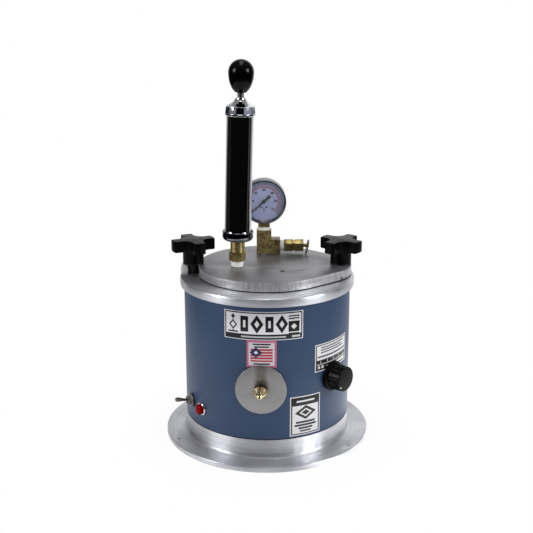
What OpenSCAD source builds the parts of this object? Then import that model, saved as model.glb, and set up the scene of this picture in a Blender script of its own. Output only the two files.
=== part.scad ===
// Jewellery wax injector: a heated wax tank in a painted shell, with a bolted
// swing lid, a hand air pump, a pressure gauge and a spring-loaded nozzle.
// Millimetres, +Z up, origin at the bottom centre of the base flange,
// nozzle towards -Y.

/* [Base ring] */
// Diameter of the base flange
flange_d = 254; // [248:0.5:280]
// Thickness of the base flange
flange_t = 6.6; // [5:0.2:9]
// Height of the ring's bright wall, up to the painted shell
ring_h = 29.4; // [24:0.2:40]
// Wall of the ring above the flange
ring_wall = 6.6; // [5:0.2:9]
// Fillet between the flange and the wall
ring_fillet = 4; // [1:0.5:8]
// Circle of the mounting holes
hole_pcd = 240; // [236:0.5:242]
// Diameter of a mounting hole
hole_d = 4.6; // [3:0.1:6]
// Number of mounting holes
hole_count = 3; // [3:1:6]
// Angle of the first mounting hole from +X
hole_angle = -155.3; // [-170:0.1:-140]

/* [Shell and tank] */
// Outside diameter of the painted shell
body_d = 203.2; // [190:0.2:206]
// Sheet thickness of the shell
shell_t = 1.5; // [1:0.1:2.5]
// Height of the painted shell
shell_h = 165.8; // [150:0.2:200]
// Diameter of the tank's top rim
rim_d = 212.6; // [208:0.2:220]
// Thickness of the rim
rim_t = 10.3; // [8:0.1:14]
// Bore of the tank
tank_bore_d = 140; // [120:1:146]
// Wall of the tank
tank_wall = 5; // [3:0.2:7]
// Floor height of the tank above the table
tank_floor_z = 62; // [50:1:80]

/* [Lid] */
// Diameter of the lid
lid_d = 168; // [160:0.5:172]
// Thickness of the lid plate
lid_t = 12.2; // [9:0.1:16]
// Radius of the pivot lobe at the right of the lid
lobe_r = 49; // [40:0.5:56]
// Distance from the tank's centre to the centre of the lobe
lobe_x = 54; // [48:0.5:58]
// Distance of each stud from the tank's centre
stud_x = 90; // [88:0.5:92]
// Stud diameter, 3/8 inch
stud_d = 9.525; // [8:0.005:10]
// Thread pitch of the studs
stud_pitch = 1.5875; // [1:0.0025:2]
// Gap between the left edge of the lid and the left stud
swing_gap = 3.2; // [1:0.1:6]
// Section of the lid seal
seal_d = 3.5; // [2.5:0.1:4.5]

/* [Clamp knobs] */
// Diameter over the four lobes
knob_d = 53; // [48:0.5:60]
// Height of the lobes
knob_lobe_h = 14; // [11:0.5:18]
// Diameter of the hub
knob_hub_d = 25.5; // [22:0.5:30]
// Height of the hub below the lobes
knob_hub_h = 15.3; // [10:0.1:20]
// Thickness of the washer under each knob
washer_t = 1.4; // [1:0.1:2.5]
// Turn of the left knob's lobes
knob_turn_left = 24; // [0:1:89]
// Turn of the right knob's lobes
knob_turn_right = -37; // [-45:1:44]

/* [Air pump] */
// Pump position on the lid, X
pump_x = -36.2; // [-44:0.1:-30]
// Pump position on the lid, Y
pump_y = -13.2; // [-24:0.1:0]
// Lean of the pump to the right, in degrees
pump_lean = 1.6; // [0:0.1:3]
// Outside diameter of the barrel
barrel_d = 32; // [28:0.5:36]
// Wall of the barrel
barrel_wall = 1.5; // [1:0.1:2.5]
// Bright length of the barrel between its caps
barrel_h = 137.5; // [110:0.5:170]
// Diameter of the base cap
base_cap_d = 37; // [36:0.5:42]
// Height of the base cap
base_cap_h = 11.8; // [9:0.1:16]
// Diameter of the top cap
top_cap_d = 36; // [35:0.5:42]
// Height of the top cap's band
top_cap_h = 10.8; // [8:0.1:16]
// Height of the top cap's cone
top_cone_h = 9.4; // [6:0.1:14]
// Piston rod diameter
rod_d = 8; // [6:0.1:10]
// Rod that shows below the ball when the pump is closed
rod_show = 6.4; // [3:0.1:12]
// Diameter of the ball handle
ball_d = 30; // [26:0.5:36]
// Height of the ball handle
ball_h = 37.7; // [32:0.1:44]
// Width across the flats of the brass adapter
adapter_af = 17.6; // [16:0.1:22]
// Diameter of the adapter's round neck
neck_d = 17.2; // [14:0.1:17.6]

/* [Tee and gauge] */
// Tee position on the lid, X
tee_x = -3.9; // [-12:0.1:4]
// Tee position on the lid, Y
tee_y = 46; // [40:0.1:50]
// Width of the tee block
tee_w = 18.4; // [16:0.1:22]
// Depth of the tee block
tee_depth = 17; // [14:0.1:20]
// Height of the tee block
tee_h = 29.6; // [26:0.1:36]
// Reach of the tee's side arm past the block
arm_reach = 11.1; // [8:0.1:16]
// Height of the tee's side arm
arm_h = 18; // [16:0.1:20]
// Outside diameter of the gauge bezel
gauge_d = 55.4; // [50:0.2:64]
// Depth of the gauge case
gauge_depth = 22; // [18:0.5:28]
// Height of the gauge centre above the tee block
gauge_rise = 37.4; // [34:0.1:44]
// Distance from the tee's centre forward to the gauge face
gauge_forward = 12.4; // [10:0.1:14]
// Rest angle of the needle, anticlockwise from +X as seen from the front
needle_angle = 222.8; // [200:0.1:240]

/* [Relief valve] */
// Width across the flats of the valve body
relief_af = 13.6; // [12:0.1:16]
// Length of the valve body
relief_len = 24.2; // [20:0.1:30]
// Diameter of the valve stem
relief_stem_d = 4.6; // [3.5:0.1:5.5]
// Outside diameter of the pull ring
pull_ring_d = 20; // [16:0.5:20]
// Wire of the pull ring
pull_wire_d = 1.5; // [1:0.1:2]
// Lean of the pull ring
pull_ring_lean = 12; // [0:1:15]

/* [Nozzle] */
// Angle of the nozzle from +X
nozzle_az = -94; // [-100:0.5:-84]
// Height of the nozzle
nozzle_z = 94; // [88:0.5:100]
// Diameter of the splash disc
disc_d = 60; // [50:0.5:66]
// Thickness of the splash disc
disc_t = 1.5; // [1:0.1:3]
// Base diameter of the nozzle cone
cone_d = 15.6; // [13:0.1:18]
// Length of the nozzle cone
cone_l = 16.6; // [14:0.1:16.8]
// Bore of the nozzle tip
tip_bore_d = 2; // [1:0.1:3]
// Travel of the nozzle when a mould is pressed on it
nozzle_travel = 3; // [1:0.1:4]

/* [Thermostat] */
// Angle of the thermostat from +X
thermostat_az = -40.5; // [-46:0.5:-34]
// Height of the thermostat
thermostat_z = 97.5; // [90:0.5:104]
// Diameter of the knob's skirt
dial_skirt_d = 36; // [32:0.5:40]
// Diameter of the knob's grip at its face
dial_grip_d = 30; // [26:0.5:32]
// Length of the knob
dial_l = 20; // [16:0.5:24]
// Diameter of the thermostat shaft
shaft_d = 6; // [5:0.1:6.4]

/* [Switch and lamp] */
// Angle of the switch from +X
switch_az = -154.2; // [-160:0.2:-148]
// Height of the switch
switch_z = 56.5; // [48:0.5:64]
// Tilt of the lever at rest
lever_tilt = 12; // [8:0.5:14]
// Length of the lever outside its bushing
lever_l = 16.5; // [12:0.5:17]
// Angle of the lamp from +X
lamp_az = -141; // [-142:0.2:-130]
// Height of the lamp
lamp_z = 53; // [46:0.5:60]
// Diameter of the lamp's bezel
lamp_bezel_d = 16.5; // [15:0.5:18]
// Diameter of the lamp's lens
lamp_lens_d = 13; // [10:0.5:13.5]

/* [Labels] */
// Thickness of the name plate
plate_t = 0.5; // [0.3:0.1:1]
// Thickness of a printed label
label_t = 0.3; // [0.2:0.05:0.5]

/* [Hidden] */

$fn = 96;
eps = 0.01;          // how far a cut runs past a face
fit = 0.05;          // radial clearance of a running fit
loose = 0.3;         // gap between curved faces on different bodies

brass = "#b08d3c";
bright = "#c9cbce";
chrome = "#d9dcdf";
black = "#17181a";
steel = "#8f9296";

// radii and levels that follow from the sizes above
body_r = body_d / 2;
shell_in_r = body_r - shell_t;
ring_in_r = body_r - ring_wall;
spigot_r = shell_in_r - fit;
spigot_h = 6.6;
rim_z = ring_h + shell_h;
lid_z = rim_z + rim_t;
lid_top = lid_z + lid_t;
rim_r = rim_d / 2;
rim_round = 2.5;
tank_in_r = tank_bore_d / 2;
tank_out_r = tank_in_r + tank_wall;
tank_bottom_t = 6;
seal_r = tank_in_r + 4.5;
seal_gap = 0.15;     // what is left between the seal and the closed lid
seal_depth = seal_d - seal_gap;
seal_section = seal_d - 2 * seal_gap;

// bottom plate, its recess and the inner web that the tie rods stand on
recess_r = body_r - 2;
recess_h = 3;
plate_r = recess_r - 0.3;
bottom_t = 1.5;
screw_ring_r = (ring_in_r + recess_r) / 2;
screw_d = 2.5;
screw_count = 6;
tie_nut_af = 8;
web_z = 12;
web_t = 5;
web_in_r = ring_in_r - 12;
rod_ring_r = ring_in_r - tie_nut_af / 2 - 1;
tie_d = 5;
tie_angles = [30, 150, 300];
tie_nut_t = 4;
tie_bite = 7;        // thread that goes up into the rim

// knobs
hub_z = lid_top + washer_t;
lobe_z = hub_z + knob_hub_h;
knob_top = lobe_z + knob_lobe_h;
stud_top = lobe_z + 4;
knob_bore_top = stud_top + 1.5;
lobe_end_r = 6.8;
washer_r = knob_hub_d / 2;
heel_t = 8.6;
heel_w = 16;
heel_h = lid_t;
heel_x = stud_x + stud_d / 2 + 1.8 + heel_t / 2;

// pump stations, measured along its axis from the top of the lid
hex_s = 7.7;
hex_h = 11.3;
neck_s = hex_s + hex_h;
neck_h = 13.8;
cap_s = neck_s + neck_h;
cap_floor = 5.2;
barrel_s = cap_s + cap_floor;
band_s = cap_s + base_cap_h + barrel_h;
socket_h = 5.5;
cone_s = band_s + top_cap_h;
rod_exit_s = cone_s + top_cone_h;
ball_s = rod_exit_s + rod_show;
pump_in_r = barrel_d / 2 - barrel_wall;
cup_h = 3.2;
piston_h = 5.5;
cup_s = barrel_s + loose;
piston_s = cup_s + cup_h;
thread_r = 6.5;      // pipe thread of the pump and the tee

// tee, gauge and relief valve
tee_z = lid_top + 1.5;
tee_top = tee_z + tee_h;
arm_z = tee_z + 8.8;
gauge_z = tee_top + gauge_rise;
gauge_y = tee_y - gauge_forward;
gauge_r = gauge_d / 2;
case_r = gauge_r - 0.8;
case_wall = 1.2;
dial_y = gauge_y + 7.4;
dial_t = 0.6;
dial_r = case_r - case_wall - 0.6;
lens_t = 1.5;
bezel_lip = 1.2;
lens_y = gauge_y + bezel_lip;
needle_y = gauge_y + 4.4;
needle_t = 0.5;
stem_w = 14.4;
bezel_w = gauge_forward - stem_w / 2 - 0.2;
stem_z = tee_top + 4.4;
stem_top = gauge_z - case_r + case_wall + 0.4;
socket_w = 9;
socket_d = 8;
tube_r = 16;
tube_t = 1.8;
tube_w = 5;
socket_top = gauge_z - tube_r - tube_t / 2 - 0.7;
arm_x = tee_x + tee_w / 2 + arm_reach;
relief_x = arm_x + 5.2;
relief_end = relief_x + relief_len;
relief_thread_r = 6.1;
relief_bore_r = 3.9;
seat_x = relief_x + 5;
poppet_t = 2.5;
poppet_r = 3.4;
relief_cap_t = 2;
ring_x = relief_end + relief_stem_d / 2 + 2.2;
stem_end = ring_x + 2.4;
pull_r = (pull_ring_d - pull_wire_d) / 2;

// nozzle stations, measured outwards from the axis of the tank
disc_s = body_r + 0.5;
boss_end = tank_out_r + 3;
nut_s = disc_s + disc_t;
nut_h = 3.4;
nut_af = 14;
valve_r = 7;
spring_s = body_r - 16;
spring_r = 4.4;
spring_wire = 1.2;
spring_room = 12;
spring_room_r = 5.6;
collar_t = 1.4;
stem_r = 3;
cone_s0 = nut_s + nut_h + nozzle_travel + loose;
nose_r = valve_r - 1.5;
nose_end = cone_s0 + 1.2;
skirt_depth = nose_end - cone_s0 + nozzle_travel + 1;

// thermostat stations
dial_s = body_r + 0.8;
can_r = 17;
can_s = tank_out_r + 5.5;
bush_r = 4.9;
bush_end = body_r + 5.5;
dial_hollow = 7;

// switch and lamp stations
bushing_r = 5.9;
bushing_end = body_r + 6.5;
washer_s = body_r;
switch_washer_t = 1;
switch_nut_t = 2.2;
switch_nut_af = 14;
pivot_r = 2.9;
lever_pivot = bushing_end - 3.5;
lever_r = 1.6;
lever_tip_r = 2.8;
pin_r = 0.9;
pin_l = 9.2;
lamp_t = 2;
lamp_floor = 0.7;

heater_t = 3.6;
heater_r = tank_out_r + heater_t;
heater_z = tank_floor_z + 6;
heater_h = 50;
heater_gap = 26;
insulation_z = heater_z + heater_h + 6;
insulation_t = rod_ring_r - tie_d / 2 - tank_out_r - 0.5;
gland_az = 90;
gland_z = 48;
gland_bore_d = 8;
gland_d = 16;
gland_out = 9;
gland_in = 8;
vent_d = 6;
vent_count = 12;

// ---- placing ----
module radial(az, z) translate([0, 0, z]) rotate([0, 0, az]) rotate([0, 90, 0]) children();
module on_pump() translate([pump_x, pump_y, lid_top]) rotate([0, pump_lean, 0]) children();
module on_gauge(y) translate([tee_x, y, gauge_z]) rotate([-90, 0, 0]) children();
module on_arm(x) translate([x, tee_y, arm_z]) rotate([0, 90, 0]) children();
module round_about(n, r, start = 0) for (i = [0 : n - 1]) rotate([0, 0, start + i * 360 / n])
    translate([r, 0, 0]) children();

// ---- shared shapes ----
module ring(outer, inner, h) difference() {
    cylinder(r = outer, h = h);
    translate([0, 0, -eps]) cylinder(r = inner, h = h + 2 * eps);
}
module hex(af, h) cylinder(d = af / cos(30), h = h, $fn = 6);
module sector(r, h, half_angle) translate([0, 0, -eps]) linear_extrude(h + 2 * eps)
    polygon([[0, 0], [r * cos(half_angle), -r * sin(half_angle)], [r, 0],
             [r * cos(half_angle), r * sin(half_angle)]]);

// A compression spring along +Z: one unbroken wire of sides x rings points.
spring_sides = 6;
spring_rings = 8;
module coil(r, wire, h, turns) {
    steps = turns * spring_rings;
    at = function (i) [r * cos(i * 360 / spring_rings), r * sin(i * 360 / spring_rings),
                       wire / 2 + (h - wire) * i / steps];
    rim = function (i, j) let (a = i * 360 / spring_rings, b = j * 360 / spring_sides)
        at(i) + wire / 2 * [cos(b) * cos(a), cos(b) * sin(a), sin(b)];
    points = [for (i = [0 : steps]) for (j = [0 : spring_sides - 1]) rim(i, j)];
    sides = [for (i = [0 : steps - 1]) for (j = [0 : spring_sides - 1])
        let (k = (j + 1) % spring_sides, a = i * spring_sides + j, b = i * spring_sides + k)
        each [[a, b, b + spring_sides], [a, b + spring_sides, a + spring_sides]]];
    first = [for (j = [spring_sides - 1 : -1 : 1]) if (j > 1) [0, j, j - 1]];
    last_at = steps * spring_sides;
    last = [for (j = [1 : spring_sides - 2]) [last_at, last_at + j, last_at + j + 1]];
    polyhedron(points, concat(sides, first, last));
}

// ---- base ----
module base_ring() color(bright) difference() {
    rotate_extrude() polygon(concat(
        [[recess_r, 0], [flange_d / 2 - 0.6, 0], [flange_d / 2, 0.6],
         [flange_d / 2, flange_t - 0.6], [flange_d / 2 - 0.6, flange_t]],
        [for (a = [0 : 15 : 90]) [body_r + ring_fillet * (1 - sin(a)),
                                  flange_t + ring_fillet * (1 - cos(a))]],
        [[body_r, ring_h], [spigot_r, ring_h], [spigot_r, ring_h + spigot_h],
         [ring_in_r, ring_h + spigot_h], [ring_in_r, web_z + web_t],
         [web_in_r, web_z + web_t], [web_in_r, web_z], [ring_in_r, web_z],
         [ring_in_r, recess_h], [recess_r, recess_h]]));
    round_about(hole_count, hole_pcd / 2, hole_angle) translate([0, 0, -eps])
        cylinder(d = hole_d, h = flange_t + 2 * eps);
    for (a = tie_angles) rotate([0, 0, a]) translate([rod_ring_r, 0, web_z - eps])
        cylinder(d = tie_d + 2 * fit, h = web_t + 2 * eps);
    round_about(screw_count, screw_ring_r) cylinder(d = screw_d, h = recess_h + 6);
}
module bottom_plate() color(steel) translate([0, 0, recess_h - bottom_t]) difference() {
    cylinder(r = plate_r, h = bottom_t);
    round_about(screw_count, screw_ring_r) translate([0, 0, -eps])
        cylinder(d = screw_d + 0.4, h = bottom_t + 2 * eps);
    round_about(vent_count, plate_r / 2) translate([0, 0, -eps])
        cylinder(d = vent_d, h = bottom_t + 2 * eps);
}
module bottom_screws() color(steel) round_about(screw_count, screw_ring_r) {
    translate([0, 0, recess_h - bottom_t - 1.1]) difference() {
        cylinder(d = 4.2, h = 1.1);
        translate([-1.6, -0.3, -eps]) cube([3.2, 0.6, 0.5]);
    }
    translate([0, 0, recess_h - bottom_t - eps]) cylinder(d = screw_d, h = bottom_t + 5);
}

// ---- shell and tank ----
module body_shell() color("#465f7c") difference() {
    translate([0, 0, ring_h]) ring(body_r, shell_in_r, shell_h);
    radial(nozzle_az, nozzle_z) cylinder(r = valve_r + fit, h = body_r + 10);
    radial(thermostat_az, thermostat_z) cylinder(r = bush_r + fit, h = body_r + 10);
    radial(switch_az, switch_z) cylinder(r = bushing_r + fit, h = body_r + 10);
    radial(lamp_az, lamp_z) cylinder(r = lamp_lens_d / 2 - 1, h = body_r + 10);
    radial(gland_az, gland_z) cylinder(d = gland_d - 4, h = body_r + 10);
}
module tank() color(bright) difference() {
    union() {
        rotate_extrude() polygon(concat(
            [[0, tank_floor_z - tank_bottom_t], [tank_out_r, tank_floor_z - tank_bottom_t],
             [tank_out_r, rim_z - 5], [spigot_r, rim_z - 5], [spigot_r, rim_z], [rim_r, rim_z],
             [rim_r, lid_z - rim_round]],
            [for (a = [15 : 15 : 90]) [rim_r - rim_round * (1 - cos(a)),
                                       lid_z - rim_round * (1 - sin(a))]],
            [[tank_in_r, lid_z], [tank_in_r, tank_floor_z], [0, tank_floor_z]]));
        radial(nozzle_az, nozzle_z) translate([0, 0, tank_in_r + 2])
            cylinder(r = valve_r + 3, h = boss_end - tank_in_r - 2);
    }
    translate([0, 0, lid_z - seal_depth])
        ring(seal_r + seal_d / 2 + 0.2, seal_r - seal_d / 2 - 0.2, seal_d);
    for (side = [-1, 1]) translate([side * stud_x, 0, rim_z - 5 - eps])
        cylinder(d = stud_d, h = rim_t + 5 + 2 * eps);
    for (a = tie_angles) rotate([0, 0, a]) translate([rod_ring_r, 0, rim_z - 5 - eps])
        cylinder(d = tie_d, h = tie_bite + eps);
    radial(nozzle_az, nozzle_z) translate([0, 0, tank_in_r - 4]) cylinder(r = nose_r, h = tank_wall + 10);
    translate([-heel_x, 0, lid_z - 4]) cylinder(d = 4, h = 4 + eps);
}
module lid_seal() color(black) translate([0, 0, lid_z - seal_depth + seal_section / 2])
    rotate_extrude() translate([seal_r, 0]) circle(d = seal_section, $fn = 48);
module clamp_studs() color(steel) for (side = [-1, 1])
    translate([side * stud_x, 0, rim_z - 5]) {
        cylinder(d = stud_d, h = stud_top - stud_pitch - rim_z + 5);
        translate([0, 0, stud_top - stud_pitch - rim_z + 5])
            cylinder(d1 = stud_d, d2 = stud_d - 2 * stud_pitch, h = stud_pitch);
    }
module heel_block() color(bright) translate([-heel_x, 0, lid_z]) {
    rotate([90, 0, 0]) translate([0, 0, -heel_w / 2]) linear_extrude(heel_w) union() {
        translate([-heel_t / 2, 0]) square([heel_t, heel_h - heel_t / 2]);
        translate([0, heel_h - heel_t / 2]) circle(d = heel_t);
    }
    translate([0, 0, -4]) cylinder(d = 4, h = 5);
}
module tie_rods() color(steel) for (a = tie_angles) rotate([0, 0, a])
    translate([rod_ring_r, 0, web_z - tie_nut_t - 1])
        cylinder(d = tie_d, h = rim_z - 5 + tie_bite - web_z + tie_nut_t + 1);
module tie_rod_nuts() color(steel) for (a = tie_angles) rotate([0, 0, a])
    translate([rod_ring_r, 0, web_z - tie_nut_t]) difference() {
        rotate(30) hex(tie_nut_af, tie_nut_t);
        translate([0, 0, -eps]) cylinder(d = tie_d, h = tie_nut_t + 2 * eps);
    }

// ---- heater ----
ear_h = 8;
ear_z = heater_h - ear_h - 3;
ear_t = 1.5;
ear_screw_r = heater_r + 3.4;
ear_screw_d = 3;
ear_head_d = 5.5;
module heater_ears() for (side = [-1, 1])
    translate([heater_r - 2.6, side * (heater_gap + ear_t) / 2 - ear_t / 2, ear_z]) cube([9, ear_t, ear_h]);
module heater_band() color("#6b665e") translate([0, 0, heater_z]) rotate([0, 0, nozzle_az]) difference() {
    union() {
        difference() {
            ring(heater_r, tank_out_r, heater_h);
            translate([tank_out_r - 10, -heater_gap / 2, -eps]) cube([30, heater_gap, heater_h + 2 * eps]);
        }
        heater_ears();
    }
    translate([ear_screw_r, 0, ear_z + ear_h / 2]) rotate([90, 0, 0]) translate([0, 0, -heater_gap])
        cylinder(d = ear_screw_d, h = 2 * heater_gap);
}
module heater_screw() color(steel) translate([0, 0, heater_z]) rotate([0, 0, nozzle_az])
    translate([ear_screw_r, 0, ear_z + ear_h / 2]) rotate([90, 0, 0]) {
        translate([0, 0, -heater_gap / 2 - 4]) cylinder(d = ear_screw_d, h = heater_gap + 6);
        translate([0, 0, heater_gap / 2 + ear_t]) cylinder(d = ear_head_d, h = 2.5);
        translate([0, 0, -heater_gap / 2 - 3.9]) hex(ear_head_d, 2.4);
    }
module insulation_ring() color("#d8cfae") translate([0, 0, insulation_z])
    ring(tank_out_r + insulation_t, tank_out_r, rim_z - 8 - insulation_z);

// ---- thermostat ----
module thermostat_body() color("#b9b4a8") difference() {
    radial(thermostat_az, thermostat_z) {
        translate([0, 0, can_s]) cylinder(r = can_r, h = body_r - shell_t - 2.2 - can_s);
        translate([0, 0, can_s + 1]) cylinder(r = bush_r, h = bush_end - can_s - 1);
    }
    radial(thermostat_az, thermostat_z) translate([0, 0, can_s + 3])
        cylinder(d = shaft_d + 2 * fit, h = body_r);
}
module thermostat_nut() color(steel) radial(thermostat_az, thermostat_z)
    translate([0, 0, body_r]) difference() {
        hex(13, 2.4);
        translate([0, 0, -eps]) cylinder(r = bush_r, h = 3);
    }
module thermostat_shaft() color(bright) radial(thermostat_az, thermostat_z)
    translate([0, 0, can_s + 3 + loose]) cylinder(d = shaft_d, h = dial_s + dial_l - 3 - can_s - 3 - loose);
flute_count = 18;
module thermostat_knob() color(black) radial(thermostat_az, thermostat_z)
    translate([0, 0, dial_s]) difference() {
        rotate_extrude() polygon([[0, 0], [dial_skirt_d / 2, 0], [dial_skirt_d / 2, 2.6],
            [dial_skirt_d / 2 - 1.6, 4.4], [dial_grip_d / 2 + 0.8, 5.2],
            [dial_grip_d / 2, dial_l - 0.8], [dial_grip_d / 2 - 0.8, dial_l], [0, dial_l]]);
        translate([0, 0, -eps]) cylinder(r = bush_r + 4.2, h = dial_hollow);
        translate([0, 0, -eps]) cylinder(d = shaft_d, h = dial_l - 3 + eps);
        round_about(flute_count, dial_grip_d / 2 + 1.5) translate([0, 0, 5.2])
            cylinder(r = 1.7, h = dial_l, $fn = 24);
    }

// ---- switch and lamp ----
module switch_body() color("#3b2f2a") difference() {
    union() {
        radial(switch_az, switch_z) translate([-9, -6.5, body_r - 17]) cube([18, 13, 14.5]);
        radial(switch_az, switch_z) translate([0, 0, body_r - 4]) cylinder(r = bushing_r, h = bushing_end - body_r + 4);
    }
    radial(switch_az, switch_z) translate([0, 0, lever_pivot - pivot_r - loose])
        cylinder(r = pivot_r + loose, h = 2 * pivot_r);
    radial(switch_az, switch_z) translate([0, 0, lever_pivot + 0.5])
        cylinder(r1 = pivot_r + loose, r2 = 4.4, h = bushing_end - lever_pivot - 0.5 + eps);
    radial(switch_az, switch_z) translate([0, 0, lever_pivot]) rotate([90, 0, 0])
        cylinder(r = pin_r + fit, h = pin_l + 2 * loose, center = true);
}
module switch_washer() color(steel) radial(switch_az, switch_z) translate([0, 0, washer_s])
    ring(8.4, bushing_r, switch_washer_t);
module switch_nut() color(chrome) radial(switch_az, switch_z)
    translate([0, 0, washer_s + switch_washer_t]) difference() {
        hex(switch_nut_af, switch_nut_t);
        translate([0, 0, -eps]) cylinder(r = bushing_r, h = switch_nut_t + 1);
    }
module switch_lever() color(chrome) radial(switch_az, switch_z) translate([0, 0, lever_pivot])
    rotate([0, -lever_tilt, 0]) {
        rotate_extrude() polygon(concat(
            [for (a = [-90 : 15 : 45]) [pivot_r * cos(a), pivot_r * sin(a)]],
            [[lever_r, 3], [lever_r + 0.1, 3.5 + lever_l * 0.3]],
            [for (a = [0 : 15 : 90]) [lever_tip_r * cos(a), 3.5 + lever_l - lever_tip_r * (1 - sin(a))]]));
        rotate([90, 0, 0]) cylinder(r = pin_r, h = pin_l, center = true);
    }
module lamp_bezel() color(chrome) radial(lamp_az, lamp_z) {
    translate([0, 0, body_r]) difference() {
        rotate_extrude() polygon([[0, 0], [lamp_bezel_d / 2, 0], [lamp_bezel_d / 2, 1.1],
            [lamp_bezel_d / 2 - 0.9, lamp_t], [0, lamp_t]]);
        translate([0, 0, lamp_floor]) cylinder(d = lamp_lens_d, h = lamp_t + 1);
    }
    translate([0, 0, body_r - 16]) cylinder(r = lamp_lens_d / 2 - 1 - fit, h = 16.3);
}
module lamp_lens() color("#b01418") radial(lamp_az, lamp_z) translate([0, 0, body_r + lamp_floor])
    rotate_extrude() polygon(concat([[0, 0], [lamp_lens_d / 2, 0], [lamp_lens_d / 2, 3.4]],
        [for (a = [15 : 15 : 90]) [lamp_lens_d / 2 * cos(a), 3.4 + 3.2 * sin(a)]]));

// ---- nozzle ----
module valve_body() color(brass) difference() {
    radial(nozzle_az, nozzle_z) {
        translate([0, 0, tank_in_r + 1]) cylinder(r = nose_r, h = tank_wall + 4);
        translate([0, 0, boss_end]) cylinder(r = valve_r, h = disc_s - boss_end);
        translate([0, 0, disc_s - 1]) cylinder(r = nose_r, h = nose_end - disc_s + 1);
    }
    radial(nozzle_az, nozzle_z) {
        translate([0, 0, tank_in_r]) cylinder(r = stem_r + fit, h = body_r);
        translate([0, 0, spring_s]) cylinder(r = spring_room_r, h = spring_room);
    }
}
module nozzle_disc() color("#9a958c") radial(nozzle_az, nozzle_z) translate([0, 0, disc_s])
    ring(disc_d / 2, nose_r, disc_t);
module packing_nut() color(brass) radial(nozzle_az, nozzle_z) translate([0, 0, nut_s])
    difference() {
        hex(nut_af, nut_h);
        translate([0, 0, -eps]) cylinder(r = nose_r, h = nut_h + 1);
    }
module valve_spring() color(steel) radial(nozzle_az, nozzle_z) translate([0, 0, spring_s + loose])
    coil(spring_r, spring_wire, spring_room - collar_t - 2 * loose, 5);
module nozzle_tip() color(brass) radial(nozzle_az, nozzle_z) difference() {
    union() {
        translate([0, 0, tank_in_r + 6]) cylinder(r = stem_r, h = cone_s0 + skirt_depth - tank_in_r - 5);
        translate([0, 0, spring_s + spring_room - collar_t]) cylinder(r = spring_room_r - loose, h = collar_t);
        translate([0, 0, cone_s0]) rotate_extrude() polygon([[0, 0], [cone_d / 2 - 0.6, 0],
            [cone_d / 2, 0.6], [cone_d / 2, 3], [cone_d / 2 - 1.2, 5.5],
            [2.6, cone_l - 0.8], [1.8, cone_l], [0, cone_l]]);
    }
    translate([0, 0, cone_s0 - eps]) ring(nose_r + loose, stem_r, skirt_depth);
    translate([0, 0, tank_in_r + 5]) cylinder(d = tip_bore_d, h = body_r);
}

// ---- cord gland, plate and labels ----
module cord_gland() color(black) radial(gland_az, gland_z) difference() {
    union() {
        translate([0, 0, body_r]) cylinder(r1 = gland_d / 2, r2 = gland_d / 2 - 2, h = gland_out);
        translate([0, 0, body_r - gland_in]) cylinder(d = gland_d - 4 - 2 * fit, h = gland_in + 1);
    }
    translate([0, 0, body_r - gland_in - 1]) cylinder(d = gland_bore_d, h = gland_in + gland_out + 2);
}
module wrap(az, half_angle, z, h, t) translate([0, 0, z]) rotate([0, 0, az]) intersection() {
    ring(body_r + t, body_r, h);
    sector(3 * body_r, h, half_angle);
}
plate_az = -92.4;
plate_half = 26.3;
plate_h = 34;
plate_z = rim_z - plate_h - 6.6;
module name_plate() color("#c4c6c8") wrap(plate_az, plate_half, plate_z, plate_h, plate_t);
// printed labels: angle, half angle, height, bottom edge
sticker_h = 33.2;
side_h = 49.6;
scale_h = 34;
stickers = [[-93.6, 9.8, sticker_h, plate_z - sticker_h - 0.6], [-63.4, 11.3, side_h, ring_h + 3],
            [-39.4, 17.2, scale_h, thermostat_z + 10.5]];
module labels() color("#e8e4e4") for (s = stickers) wrap(s[0], s[1], s[3], s[2], label_t);

// ---- lid ----
module lid_outline() intersection() {
    hull() {
        circle(d = lid_d);
        translate([lobe_x, 0]) circle(r = lobe_r);
    }
    translate([stud_x, 0]) circle(r = 2 * stud_x - stud_d / 2 - swing_gap);
}
module lid() color("#8d8f94") difference() {
    translate([0, 0, lid_z]) linear_extrude(lid_t) lid_outline();
    translate([stud_x, 0, lid_z - eps]) cylinder(r = stud_d / 2 + 2 * fit, h = lid_t + 2 * eps);
    on_pump() translate([0, 0, -2 * lid_t]) cylinder(r = thread_r, h = 3 * lid_t);
    translate([tee_x, tee_y, lid_z - eps]) cylinder(r = thread_r, h = lid_t + 2 * eps);
    translate([plug_x, plug_y, lid_top - plug_depth]) cylinder(d = plug_d, h = plug_depth + eps);
}
plug_x = 18;
plug_y = -35;
plug_d = 6;
plug_depth = 8;
module lid_plug() color(steel) translate([plug_x, plug_y, lid_top - plug_depth]) difference() {
    cylinder(d = plug_d, h = plug_depth + 0.6);
    translate([0, 0, plug_depth - 2]) hex(3, 3);
}

// ---- pump ----
module pump_adapter() color(brass) on_pump() difference() {
    union() {
        translate([0, 0, -lid_t + 0.6]) cylinder(r = thread_r, h = lid_t + hex_s);
        translate([0, 0, hex_s]) hex(adapter_af, hex_h);
        translate([0, 0, neck_s]) cylinder(d = neck_d, h = neck_h);
        translate([0, 0, cap_s - 1]) cylinder(r = thread_r, h = cap_floor + 1);
    }
    translate([0, 0, -2 * lid_t]) cylinder(r = 2.5, h = 2 * lid_t + cap_s + 2 * cap_floor);
}
module thread_tape() color("#f2f2f0") {
    on_pump() translate([0, 0, loose]) ring(thread_r + 1.25, thread_r, hex_s - loose);
    translate([tee_x, tee_y, lid_top]) ring(thread_r + 1.4, thread_r, tee_z - lid_top);
    translate([tee_x, tee_y, tee_top]) ring(thread_r + 1.6, thread_r, stem_z - tee_top);
    on_arm(arm_x) ring(relief_thread_r + 0.8, relief_thread_r, relief_x - arm_x);
}
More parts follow.
